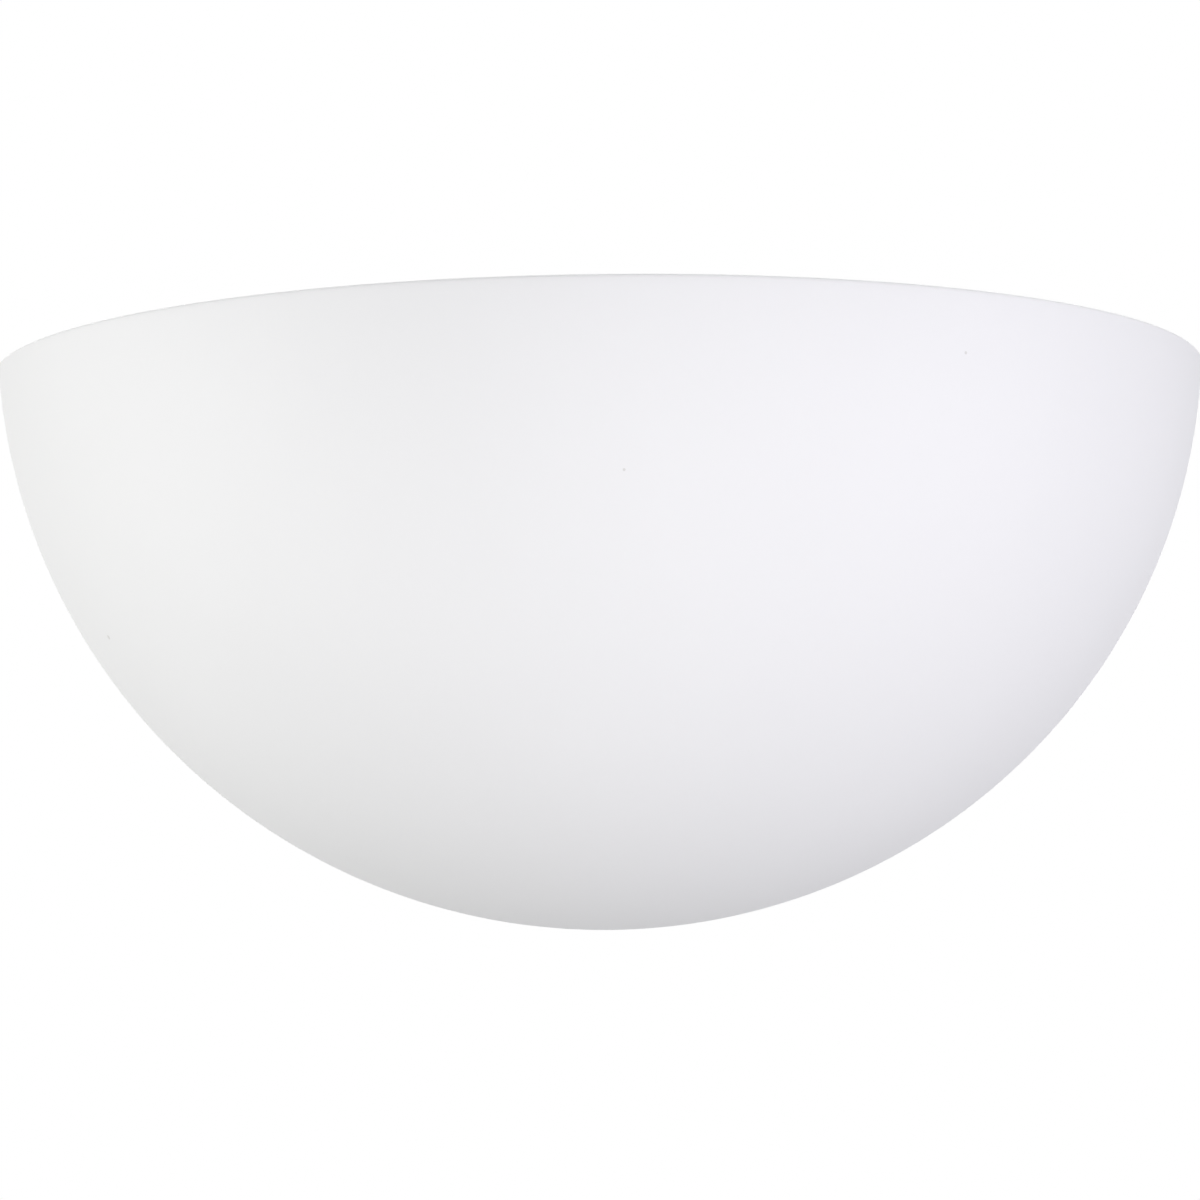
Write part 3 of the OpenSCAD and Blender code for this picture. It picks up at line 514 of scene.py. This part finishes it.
black_glass = plain_finish("black insulating glass", (0.01, 0.01, 0.013), (0.03, 0.028, 0.035), 0.06, 0.14)

# %% [markdown]
# ## Sheet metal with softened edges
#
# No real sheet of steel has a perfectly sharp edge: punching and plating leave a small radius that
# catches the light. The measured parts already have the right shapes, so each flat part is copied, its
# loose triangles are merged and dissolved into whole faces, and its edges are bevelled. Weighted normals
# then keep the flat faces flat to the light.

# %% Helpers that finish a part
MM = 0.001


def dress(piece, finish, slot, *nodes, body="fixed", smooth_under=35):
    """Smooths the part, gives it its finish, and lets it stand for measured parts of one body."""
    take(piece)
    bpy.ops.object.shade_smooth_by_angle(angle=math.radians(smooth_under))
    apply_step(piece, "WEIGHTED_NORMAL", keep_sharp=True)
    piece.data.materials.clear()
    piece.data.materials.append(finish)
    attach(piece, body)
    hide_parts(*nodes)
    print("%-24s %6d faces, %d open edges" % (piece.name, len(piece.data.polygons), open_edges(piece)))


def merged_copy(name, node):
    """A copy of a measured part, its triangles merged into whole faces."""
    piece = bpy.data.objects.new(name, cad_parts[node].data.copy())
    piece.data.name = name
    bpy.context.scene.collection.objects.link(piece)
    open_piece(piece)
    bpy.ops.mesh.select_all(action="SELECT")
    bpy.ops.mesh.remove_doubles(threshold=0.000004)
    bpy.ops.mesh.dissolve_limited(angle_limit=math.radians(1))
    clear_selection()
    return piece


# %% Soften the flat parts
FLAT_PARTS = [
    ("pressed_plate", "mounting_plate", 0.35, zinc, "zinc_steel"),
    ("slotted_bar", "crossbar", 0.35, zinc, "zinc_steel"),
    ("bent_bracket", "socket_bracket", 0.3, zinc, "zinc_steel"),
    ("fibre_pad", "insulation_pad", 0.5, fibre, "pad_fibre"),
    ("split_washers", "plate_lock_washers", 0.14, steel, "bright_steel"),
    ("nipple_split_washer", "nipple_lock_washer", 0.14, steel, "bright_steel"),
]
for name, node, width, finish, slot_name in FLAT_PARTS:
    part = merged_copy(name, node)
    soften(part, width * MM, segments=2, limit=35)
    dress(part, finish, slot_name, node)

# %% [markdown]
# ## Turned parts
#
# Porcelain sockets, rivets, washers, bushings and lamp glass are all round about one line. Each is drawn
# as half a section, point by point, the way a turner's drawing shows it, and spun once round. A third
# number after a point's radius and distance is the radius of its rounded corner. Distances are in
# millimetres, like the drawing's.

# %% Helpers that turn a part
UPRIGHT = Matrix.Identity(4)
lamp_axis = Vector((-57, -52, 20))
bushing_at = Vector((-20, 0, -25))
ground_at = Vector((22, 0, -25))


def out_of_wall(x, z):
    """The place of a part whose own axis points from the wall into the room."""
    return Matrix.Translation(Vector((x, 0, z)) * MM) @ Matrix.Rotation(QUARTER, 4, "X")


def at_stud(side):
    return out_of_wall(side * stud_x / MM, stud_z / MM)


def along_lamp(distance=0):
    """The place of a part whose own axis is the lamp's, so many millimetres from the socket's seat."""
    return Matrix.Translation((lamp_axis + Vector((distance, 0, 0))) * MM) @ Matrix.Rotation(QUARTER, 4, "Y")


def settle(piece, place):
    """Carries a finished piece to its place, and writes the place into its mesh."""
    take(piece)
    piece.matrix_world = place
    bpy.ops.object.transform_apply(location=True, rotation=True, scale=True)


def draw_section(name, points):
    """Draws a line through (radius, distance, rounding) points, closed if it never meets the axis."""
    clear_selection()
    bpy.ops.mesh.primitive_plane_add(size=MM)
    piece = newest(name)
    open_piece(piece, "VERT")
    bpy.ops.mesh.select_all(action="SELECT")
    bpy.ops.mesh.merge(type="CENTER")
    places = [Vector((point[0], 0, point[1])) * MM for point in points]
    bpy.ops.transform.translate(value=places[0])
    path = places + places[:1] if min(point[0] for point in points) > 0 else places
    for here, there in zip(path, path[1:]):
        bpy.ops.mesh.extrude_vertices_move(TRANSFORM_OT_translate={"value": there - here})
    bpy.ops.mesh.select_all(action="SELECT")
    bpy.ops.mesh.remove_doubles(threshold=0.000001)
    for place, point in zip(places, points):
        if len(point) > 2:
            pick(piece, "VERT", lambda p: (p - place).length < 0.000002)
            bpy.ops.mesh.bevel(offset=point[2] * MM, segments=4, affect="VERTICES")
    return piece


def turned(name, points, place=UPRIGHT, steps=64):
    """Spins a half section once round, and puts the solid in its place."""
    piece = draw_section(name, points)
    bpy.ops.mesh.select_all(action="SELECT")
    bpy.ops.mesh.spin(steps=steps, angle=2 * math.pi, center=(0, 0, 0), axis=(0, 0, 1))
    close_piece(piece)
    settle(piece, place)
    return piece


def joined(name, pieces):
    """Several separate solids kept as one part."""
    clear_selection()
    for piece in pieces:
        piece.select_set(True)
    bpy.context.view_layer.objects.active = pieces[0]
    if len(pieces) > 1:
        bpy.ops.object.join()
    pieces[0].name = pieces[0].data.name = name
    return pieces[0]


# %% Turn the porcelain socket
socket_r = 19
cap_section = [(5.16, 0, 0.3), (8.5, 0, 0.9), (8.5, 4, 1.5), (17, 9, 1.6), (socket_r, 11, 1.2),
               (socket_r, 20, 0.5), (16.6, 20, 0.3), (16.6, 12, 1), (8.5, 6.5, 0.5), (5.16, 5.5, 0.3)]
dress(turned("porcelain_cap", cap_section, along_lamp(), 96), porcelain, "socket_porcelain", "socket_cap")

body_section = [(1.46, 16, 0.2), (16.4, 16, 0.4), (16.4, 20), (socket_r, 20, 0.5), (socket_r, 52, 1.6),
                (14.3, 52, 1), (14.3, 22, 0.3), (1.46, 22, 0.2)]
body = turned("porcelain_body", body_section, along_lamp(), 96)
for across in (-9.2, 9.2):
    through = along_lamp() @ Matrix.Translation((across * MM, 0, 0))
    hole = turned("rivet hole", [(0, 15), (1.46, 15), (1.46, 23), (0, 23)], through, 32)
    combine(body, hole, "DIFFERENCE")
dress(body, porcelain, "socket_porcelain", "socket_body")

# %% Turn the rivets, washers and bushing
rivet_section = [(0, 11), (2.8, 11, 0.5), (2.8, 12), (1.6, 12), (1.6, 15), (3.2, 15, 0.1), (3.2, 16.6, 1.4),
                 (0, 16.6)]
rivets = [turned("rivet", rivet_section, out_of_wall(-44, 20 + up), 40) for up in (-6.5, 6.5)]
dress(joined("domed_rivets", rivets), steel, "bright_steel", "bracket_rivets")

washer_section = [(2.46, 22.1, 0.1), (7, 22.1, 0.15), (7, 23.1, 0.35), (2.46, 23.1, 0.15)]
for side, hand in ((-1, "left"), (1, "right")):
    washer = turned(hand + "_flat_washer", washer_section, at_stud(side))
    dress(washer, steel, "bright_steel", hand + "_nut_washer", body=hand + "_washer")

bushing_section = [(6, 8, 0.3), (7.2, 8, 0.5), (8, 10, 0.5), (8, 13.5), (10, 13.5, 0.2), (10, 15.5, 0.9),
                   (6, 15.5, 0.9)]
grommet = turned("nylon_bushing", bushing_section, out_of_wall(bushing_at.x, bushing_at.z))
dress(grommet, bushing, "black_plastic", "wire_bushing")

# %% [markdown]
# ## Threads
#
# A thread is one tooth's outline carried round and forward, so Blender's Screw modifier makes it in one
# step: the offset for each turn is the pitch. The ends of such a sweep are ragged, so both are cut off
# flat and filled. Studs and screws have small V-shaped threads. A lamp's thread is a rolled wave with a
# pitch of 3.629 mm.

# %% Helper that cuts a thread


def threaded(name, tooth, pitch, start, end, steps=24):
    """A right-handed rod from a tooth's (radius, share of the pitch) points, cut flat at both ends."""
    below = math.floor(start / pitch - 1.1) * pitch
    turns = math.ceil((end - below) / pitch + 0.1)
    rod = draw_section(name, [(radius, below + share * pitch) for radius, share in tooth] + [(0, below)])
    pick(rod, "VERT", lambda p: p.x < 0.000001)
    bpy.ops.mesh.delete(type="VERT")
    apply_step(rod, "SCREW", axis="Z", angle=2 * math.pi, screw_offset=pitch * MM, iterations=turns,
               steps=steps, render_steps=steps)
    open_piece(rod)
    bpy.ops.mesh.select_all(action="SELECT")
    bpy.ops.mesh.remove_doubles(threshold=0.000002)
    for level, ends in ((start, {"clear_inner": True}), (end, {"clear_outer": True})):
        bpy.ops.mesh.select_all(action="SELECT")
        bpy.ops.mesh.bisect(plane_co=(0, 0, level * MM), plane_no=(0, 0, 1), use_fill=True,
                            threshold=0.0000005, **ends)
    close_piece(rod)
    return rod


def v_tooth(crest, depth):
    """One tooth from root to root, with a narrow flat on its crest."""
    root = crest - depth
    return [(root, 0), (root, 0.12), (crest, 0.44), (crest, 0.56), (root, 0.88), (root, 1)]


FINE_PITCH = 0.794
NIPPLE_PITCH = 0.94
STUD_THREAD = v_tooth(2.4, 0.42)
SCREW_THREAD = v_tooth(2.1, 0.4)
NIPPLE_THREAD = v_tooth(5.1, 0.5)

# %% Make the studs and the screws
stud_section = [(0, 10.8), (4.8, 10.8, 0.5), (4.8, 12, 0.1), (2.42, 12), (2.42, 13.72), (0, 13.72)]
studs = []
for side in (-1, 1):
    stud = turned("stud", stud_section, steps=48)
    combine(stud, threaded("stud thread", STUD_THREAD, FINE_PITCH, 13.2, 37.5), "UNION")
    tip = turned("tip", [(0, 10), (6, 10), (6, 32), (1.8, 37.6), (0, 37.6)], steps=48)
    combine(stud, tip, "INTERSECT")
    settle(stud, at_stud(side))
    studs.append(stud)
dress(joined("threaded_studs", studs), steel, "bright_steel", "bowl_studs")


def slotted(piece, width, floor, lean):
    """Saws a screwdriver's slot across a head, down to `floor`."""
    clear_selection()
    saw_height = 6
    bpy.ops.mesh.primitive_cube_add(size=1, location=(0, 0, (floor + saw_height / 2) * MM),
                                    rotation=(0, 0, math.radians(lean)),
                                    scale=(20 * MM, width * MM, saw_height * MM))
    combine(piece, newest("saw"), "DIFFERENCE")


head_section = [(0, 14.2), (1.9, 14.2), (1.9, 14.5), (4, 14.5, 0.3), (4, 16.9, 1.5), (0, 16.9)]
screws = []
for side in (-1, 1):
    screw = turned("screw", head_section, steps=48)
    combine(screw, threaded("screw thread", SCREW_THREAD, FINE_PITCH, 0.3, 14.4), "UNION")
    slotted(screw, 1, 15.7, 25 * side)
    settle(screw, out_of_wall(side * 27, 0))
    screws.append(screw)
dress(joined("pan_head_screws", screws), steel, "bright_steel", "plate_screws")

# %% [markdown]
# ## Nuts
#
# A hexagon nut is a six-sided bar with its corners turned off on a lathe, so a prism is kept only where a
# turned disc with slanting edges overlaps it. The thumb nuts are turned too, and their grip is pressed in
# as a ring of flutes.

# %% Make the hexagon nut and the grounding screw


def hexagon(name, corner_r, low_z, high_z, both_ends=True):
    clear_selection()
    bpy.ops.mesh.primitive_cylinder_add(vertices=6, radius=corner_r * MM, depth=(high_z - low_z) * MM,
                                        location=(0, 0, (low_z + high_z) / 2 * MM))
    prism = newest(name)
    flat_r, slope, outside = corner_r * 0.885, corner_r * 0.07, corner_r + 0.1
    foot = [(flat_r, low_z), (outside, low_z + slope)] if both_ends else [(outside, low_z)]
    head = [(outside, high_z - slope), (flat_r, high_z)]
    disc = turned("disc", [(0, low_z)] + foot + head + [(0, high_z)], steps=96)
    combine(prism, disc, "INTERSECT")
    return prism


nut = hexagon("hexagon_nut", 8.257, -6.1, -2.5)
nipple_bore = [(0, -7), (5.16, -7), (5.16, -2), (0, -2)]
combine(nut, turned("bore", nipple_bore, steps=48), "DIFFERENCE")
settle(nut, along_lamp())
dress(nut, steel, "bright_steel", "nipple_nut", smooth_under=25)

ground = hexagon("hexagon_head_screw", 4.6, 16.0, 19.5, both_ends=False)
flange = [(0, 15.2), (5.4, 15.2, 0.1), (5.4, 16.1, 0.45), (0, 16.1)]
combine(ground, turned("flange", flange, steps=48), "UNION")
combine(ground, threaded("ground thread", STUD_THREAD, FINE_PITCH, 8, 15.6), "UNION")
slotted(ground, 1.1, 18.1, 40)
settle(ground, out_of_wall(ground_at.x, ground_at.z))
dress(ground, green, "green_paint", "ground_screw", smooth_under=25)

# %% Make the knurled thumb nuts
KNURLS, KNURL_STEPS, KNURL_DEPTH = 24, 8, 0.36
nut_r, nut_foot, chamfer = 8, 24.4, 0.93


def thumb_nut(name):
    """A fluted disc on a plain shoulder, with its edges chamfered and its bore cut."""
    clear_selection()
    foot = (0, 0, nut_foot * MM)
    bpy.ops.mesh.primitive_circle_add(vertices=KNURLS * KNURL_STEPS, radius=nut_r * MM, fill_type="NGON",
                                      location=foot)
    disc = newest(name)
    open_piece(disc)
    mesh = bmesh.from_edit_mesh(disc.data)
    for vertex in mesh.verts:
        phase = KNURLS * math.atan2(vertex.co.y, vertex.co.x)
        depth = KNURL_DEPTH * max(0, math.cos(phase)) ** 0.7
        vertex.co.xy *= (nut_r - depth) / nut_r
    bmesh.update_edit_mesh(disc.data)
    bpy.ops.mesh.select_all(action="SELECT")
    bpy.ops.transform.resize(value=(chamfer, chamfer, 1), center_override=foot)
    for rise, growth in ((0.5, 1 / chamfer), (3.8, 1), (0.5, chamfer)):
        bpy.ops.mesh.extrude_region_move(TRANSFORM_OT_translate={"value": (0, 0, rise * MM)})
        bpy.ops.transform.resize(value=(growth, growth, 1), center_override=(0, 0, 0))
    close_piece(disc, smooth_under=30)
    shoulder = [(0, 23.2), (5.5, 23.2, 0.2), (5.5, 25), (0, 25)]
    combine(disc, turned("shoulder", shoulder), "UNION")
    bore = [(0, 22), (3.6, 22), (2.46, 23.9), (2.46, 28.5), (3.6, 30), (0, 30)]
    combine(disc, turned("bore", bore, steps=48), "DIFFERENCE")
    recess = [(0, 31), (6.2, 31), (6.2, 28.75, 0.3), (0, 28.75)]
    combine(disc, turned("recess", recess), "DIFFERENCE")
    return disc


for side, hand in ((-1, "left"), (1, "right")):
    nut = thumb_nut(hand + "_knurled_nut")
    settle(nut, at_stud(side))
    dress(nut, brass, "brass", hand + "_thumb_nut", body=hand + "_nut", smooth_under=30)

# %% Make the hollow nipple
nipple = threaded("brass_nipple", NIPPLE_THREAD, NIPPLE_PITCH, -14, 5, 32)
envelope = [(0, -15), (4.0, -15), (5.4, -13.3), (5.4, 6), (0, 6)]
combine(nipple, turned("envelope", envelope, steps=48), "INTERSECT")
wire_way = [(0, -16), (3.6, -16), (3.6, 7), (0, 7)]
combine(nipple, turned("bore", wire_way, steps=48), "DIFFERENCE")
settle(nipple, along_lamp())
dress(nipple, brass, "brass", "socket_nipple", smooth_under=25)

# %% [markdown]
# ## The lamp
#
# The lamp's glass is blown thin, so it is drawn with both its skins: a globe, a flare that meets the
# globe on a tangent, and a narrow neck. Below it are the rolled screw cap, the black glass that insulates
# the tip, and a bead of solder. Inside, a glass stem holds two wires and a coiled filament, which only
# shows when the lamp is taken apart.

# %% Blow the glass
lamp_seat, globe_r, glass_thick = 26.7, 30, 0.9
globe_at = lamp_seat + 108 - globe_r
collar_at = 52.5
neck_r, shoulder_r, shoulder_at = 11.6, 13.7, collar_at + 9
run = globe_at - shoulder_at
lean = math.asin(globe_r / math.hypot(run, shoulder_r)) - math.atan2(shoulder_r, run)


def glass_skin(inset):
    """The outline from the neck's open end to the tip."""
    r = globe_r - inset
    neck, shoulder = neck_r - inset, shoulder_r - inset
    skin = [(neck, collar_at + 1), (neck, collar_at + 6, 1), (shoulder, shoulder_at, 4)]
    turns = [-lean + (QUARTER + lean) * k / 36 for k in range(37)]
    return skin + [(max(0, r * math.cos(t)), globe_at + r * math.sin(t)) for t in turns]


glass_section = glass_skin(0)[::-1] + glass_skin(glass_thick)
glass = turned("opal_glass", glass_section, along_lamp(), 96)
dress(glass, frosted, "frosted_glass", "lamp_glass_bulb", body="lamp")

# %% Roll the screw cap
LAMP_PITCH, wave_mean, wave_half = 3.629, 12.775, 0.425
wave = [(wave_mean + wave_half * math.cos(2 * math.pi * k / 10), k / 10) for k in range(11)]
cap = threaded("rolled_screw_cap", wave, LAMP_PITCH, 31.5, collar_at + 0.7, steps=48)
collar = [(0, collar_at), (13.2, collar_at, 0.4), (13.2, 58.5, 0.6), (0, 58.5)]
combine(cap, turned("collar", collar, steps=96), "UNION")
hollow = [(0, 31), (6, 31), (6, 31.95), (11.9, 31.95, 0.4), (11.9, 60), (0, 60)]
combine(cap, turned("hollow", hollow, steps=96), "DIFFERENCE")
settle(cap, along_lamp())
dress(cap, nickel, "nickel", "lamp_screw_cap", body="lamp")

insulator = [(0, 28.3), (7, 28.3, 0.5), (9.6, 29.3, 1.5), (11.925, 31.5), (0, 31.5)]
tip_glass = turned("black_tip_glass", insulator, along_lamp())
dress(tip_glass, black_glass, "black_glass", "lamp_insulator", body="lamp")
solder = [(0, lamp_seat), (3.4, lamp_seat, 1.4), (4.6, 28.3), (0, 28.3)]
bead = turned("solder_bead", solder, along_lamp())
dress(bead, nickel, "nickel", "lamp_contact", body="lamp_follower")

# %% Make the stem, its wires and the coil
stem = [(0, 53.5), (10.6, 53.5, 0.4), (10.6, 54.5, 0.4), (4, 61.5, 4), (3, 67.5), (3, 81.5, 0.8),
        (2, 83.5, 0.6), (0, 83.5)]
dress(turned("glass_stem", stem, along_lamp()), clear, "clear_glass", "lamp_stem", body="lamp")


def wire(name, route, radius):
    """A round wire through points in millimetres, each handle a sixth of the way between the neighbours."""
    clear_selection()
    bpy.ops.curve.primitive_bezier_curve_add(location=(0, 0, 0))
    strand = bpy.context.object
    strand.name = name
    strand.data.dimensions = "3D"
    knots = strand.data.splines[0].bezier_points
    knots.add(len(route) - 2)
    places = [Vector(point) * MM for point in route]
    for i, (knot, here) in enumerate(zip(knots, places)):
        reach = (places[min(i + 1, len(places) - 1)] - places[max(i - 1, 0)]) / 6
        knot.handle_left_type = knot.handle_right_type = "FREE"
        knot.co, knot.handle_left, knot.handle_right = here, here - reach, here + reach
    strand.data.resolution_u = 10
    strand.data.bevel_depth = radius * MM
    strand.data.bevel_resolution = 4
    strand.data.use_fill_caps = True
    bpy.ops.object.convert(target="MESH")
    strand = bpy.context.object
    strand.data.name = name
    open_piece(strand)
    close_piece(strand)
    return strand


coil_at, coil_half = 104.6, 11
supports = []
for side in (-1, 1):
    bend = [(1.5, 82), (1.7, 84), (5.6, 92), (10.2, 101.6), (11, 103.6), (11.1, coil_at)]
    supports.append(wire("support", [(side * across, 0, up) for across, up in bend], 0.4))
supports = joined("support_wires", supports)
settle(supports, along_lamp())
dress(supports, nickel, "nickel", "lamp_filament_wires", body="lamp")

clear_selection()
bpy.ops.mesh.primitive_circle_add(vertices=6, radius=0.13 * MM, location=(0.37 * MM, 0, 0),
                                  rotation=(QUARTER, 0, 0))
coil = newest("coiled_filament")
coil_turns = 50
apply_step(coil, "SCREW", axis="Z", angle=2 * math.pi, screw_offset=2 * coil_half / coil_turns * MM,
           iterations=coil_turns, steps=10, render_steps=10)
open_piece(coil, "EDGE")
bpy.ops.mesh.select_non_manifold()
bpy.ops.mesh.fill()
close_piece(coil)
across_lamp = along_lamp(coil_at) @ Matrix.Rotation(QUARTER, 4, "Y")
settle(coil, across_lamp @ Matrix.Translation((0, 0, -coil_half * MM)))
dress(coil, tungsten, "tungsten", "lamp_filament", body="lamp")

# %% [markdown]
# ## Wires
#
# Copper wire is stiff enough to keep the bends that a fitter gives it. Each wire is a Bezier curve along
# its measured route, given a round section and made a mesh. A curve passes smoothly through its points,
# which a chain of cylinders wouldn't. The two leads run from the socket's terminals, out through the
# nipple, and back through the bushing.

# %% Run the wires


def lead_route(side):
    """From a terminal of the socket, round outside the bracket, to the bushing."""
    part = 1.6 * side
    wide = 4.2 * side
    along = [(15.3, 0, wide), (13, 0, wide), (11, 0, wide), (7.5, 0, 1.9 * side), (2, 0, part), (-6, 0, part),
             (-14, 0, part), (-23 - 0.7 * part, 3, 0.7 * part), (-24 - part, 14, -8)]
    behind = [(-38 - 0.7 * part, -22.5, 10 - 0.7 * part), (-14, -21.5, 2 - part), (-3, -17.5, -part),
              (-2, -12, -part), (-2, -2.5, -part)]
    return [lamp_axis + Vector(p) for p in along] + [bushing_at + Vector(p) for p in behind]


dress(wire("black_insulated_lead", lead_route(1), 1.2), black_skin, "black_wire", "black_lead")
dress(wire("white_insulated_lead", lead_route(-1), 1.2), white_skin, "white_wire", "white_lead")

hook_r = 3.4
turns = [math.radians(a) for a in range(-90, 91, 45)]
hook = [(ground_at.x + hook_r * math.cos(a), -14.35, ground_at.z + hook_r * math.sin(a)) for a in turns]
run_back = [(13, -14.7, -22), (6, -16.5, -24), (-6, -17.9, -25), (-13, -17.9, -25), (-16.2, -15, -25),
            (-16.4, -10, -25), (-16.4, -2.5, -25)]
dress(wire("bare_ground_wire", hook + run_back, 0.8), copper, "copper", "ground_wire")

# %% Finish the small parts that stay as measured
# These sit inside the socket, where only a look down the empty shell shows them.
KEPT_PARTS = {
    brass: ["screw_shell_rivets", "socket_contact", "contact_rivet", "contact_terminal"],
    nickel: ["socket_screw_shell", "shell_terminal"],
}
for finish, names in KEPT_PARTS.items():
    for name in names:
        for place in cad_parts[name].material_slots:
            place.link = "OBJECT"
            place.material = finish
print("parts kept as measured:", sum(len(names) for names in KEPT_PARTS.values()))

# %% [markdown]
# ## Floor, background and light
#
# A catalogue photograph of white clay needs a white ground and light that wraps round the form. The
# sconce hangs at head height, so the floor lies about two metres below it. The background is white only
# where the camera or a reflection sees it, so it adds no light of its own. Broad area lamps stand for the
# photographer's soft boxes. They are level with the bowl and below it, because the photograph's tones
# fall off only close to the lower outline. One more above lights the bowl's inside, and one behind lights
# the plate, for views that the photograph lacks.

# %% Make the floor and the background
clear_selection()
floor_width, floor_level = 12, -2.1
bpy.ops.mesh.primitive_plane_add(size=floor_width, location=(0, 0, floor_level))
floor = newest("floor")


def seen_directly(tree):
    """One where the camera, a reflection or clear glass looks, and nought for the light itself."""
    rays = tree.nodes.new("ShaderNodeLightPath")
    amount = rays.outputs["Is Camera Ray"]
    for kind in ("Is Glossy Ray", "Is Transmission Ray"):
        larger = tree.nodes.new("ShaderNodeMath")
        larger.operation = "MAXIMUM"
        tree.links.new(amount, larger.inputs[0])
        tree.links.new(rays.outputs[kind], larger.inputs[1])
        amount = larger.outputs["Value"]
    return amount


floor_finish, floor_nodes, floor_links, floor_shader = new_finish("pale floor", (0.5, 0.5, 0.5), 0.9)
lift = floor_nodes.new("ShaderNodeMapRange")
lift.inputs["To Max"].default_value = 0.8
floor_links.new(seen_directly(floor_finish.node_tree), lift.inputs["Value"])
floor_shader.inputs["Emission Color"].default_value = (1, 1, 1, 1)
floor_links.new(lift.outputs["Result"], floor_shader.inputs["Emission Strength"])
floor.data.materials.append(floor_finish)

world = bpy.context.scene.world or bpy.data.worlds.new("studio")
bpy.context.scene.world = world
world.use_nodes = True
sky = world.node_tree
sky.nodes.clear()
room, white = (sky.nodes.new("ShaderNodeBackground") for _ in range(2))
room.inputs["Color"].default_value = (0.965, 0.985, 1, 1)
room.inputs["Strength"].default_value = 0.33
white.inputs["Color"].default_value = (1, 1, 1, 1)
white.inputs["Strength"].default_value = 1.0
choose = sky.nodes.new("ShaderNodeMixShader")
end = sky.nodes.new("ShaderNodeOutputWorld")
sky.links.new(seen_directly(sky), choose.inputs["Fac"])
sky.links.new(room.outputs["Background"], choose.inputs[1])
sky.links.new(white.outputs["Background"], choose.inputs[2])
sky.links.new(choose.outputs["Shader"], end.inputs["Surface"])

# %% Place the lamps
# Each lamp: how far round to the right, how far up, its power and its colour.
LAMPS = {
    "left_box": (-110, 10, 8.3, (1.0, 0.983, 1.0)),
    "front_left_box": (-80, -10, 10.8, (1.0, 1.0, 0.955)),
    "low_left_box": (-50, -30, 8.2, (1.0, 1.0, 0.985)),
    "front_box": (10, -10, 17.2, (0.981, 0.962, 1.0)),
    "right_box": (70, -10, 16.8, (0.934, 0.912, 1.0)),
    "top_box": (180, 80, 13.0, (1.0, 1.0, 1.0)),
    "back_box": (180, 20, 18.0, (1.0, 1.0, 1.0)),
}
lit_point = Vector((0, -0.05, 0))
lamp_distance, lamp_width = 2.0, 1.1
for name, (round_by, up_by, watts, colour) in LAMPS.items():
    a, e = math.radians(round_by), math.radians(up_by)
    away = Vector((math.sin(a) * math.cos(e), -math.cos(a) * math.cos(e), math.sin(e)))
    data = bpy.data.lights.new(name, "AREA")
    data.shape = "DISK"
    data.size = lamp_width
    data.energy = watts
    data.color = colour
    lamp = bpy.data.objects.new(name, data)
    bpy.context.scene.collection.objects.link(lamp)
    lamp.location = lit_point + lamp_distance * away
    lamp.rotation_mode = "QUATERNION"
    lamp.rotation_quaternion = (-away).to_track_quat("-Z", "Y")
bpy.context.scene.view_settings.view_transform = "Standard"

# %% [markdown]
# ## Leave nothing selected
#
# The dressed sconce must fill the same box as the measured one. The script ends with nothing selected.

clear_selection()
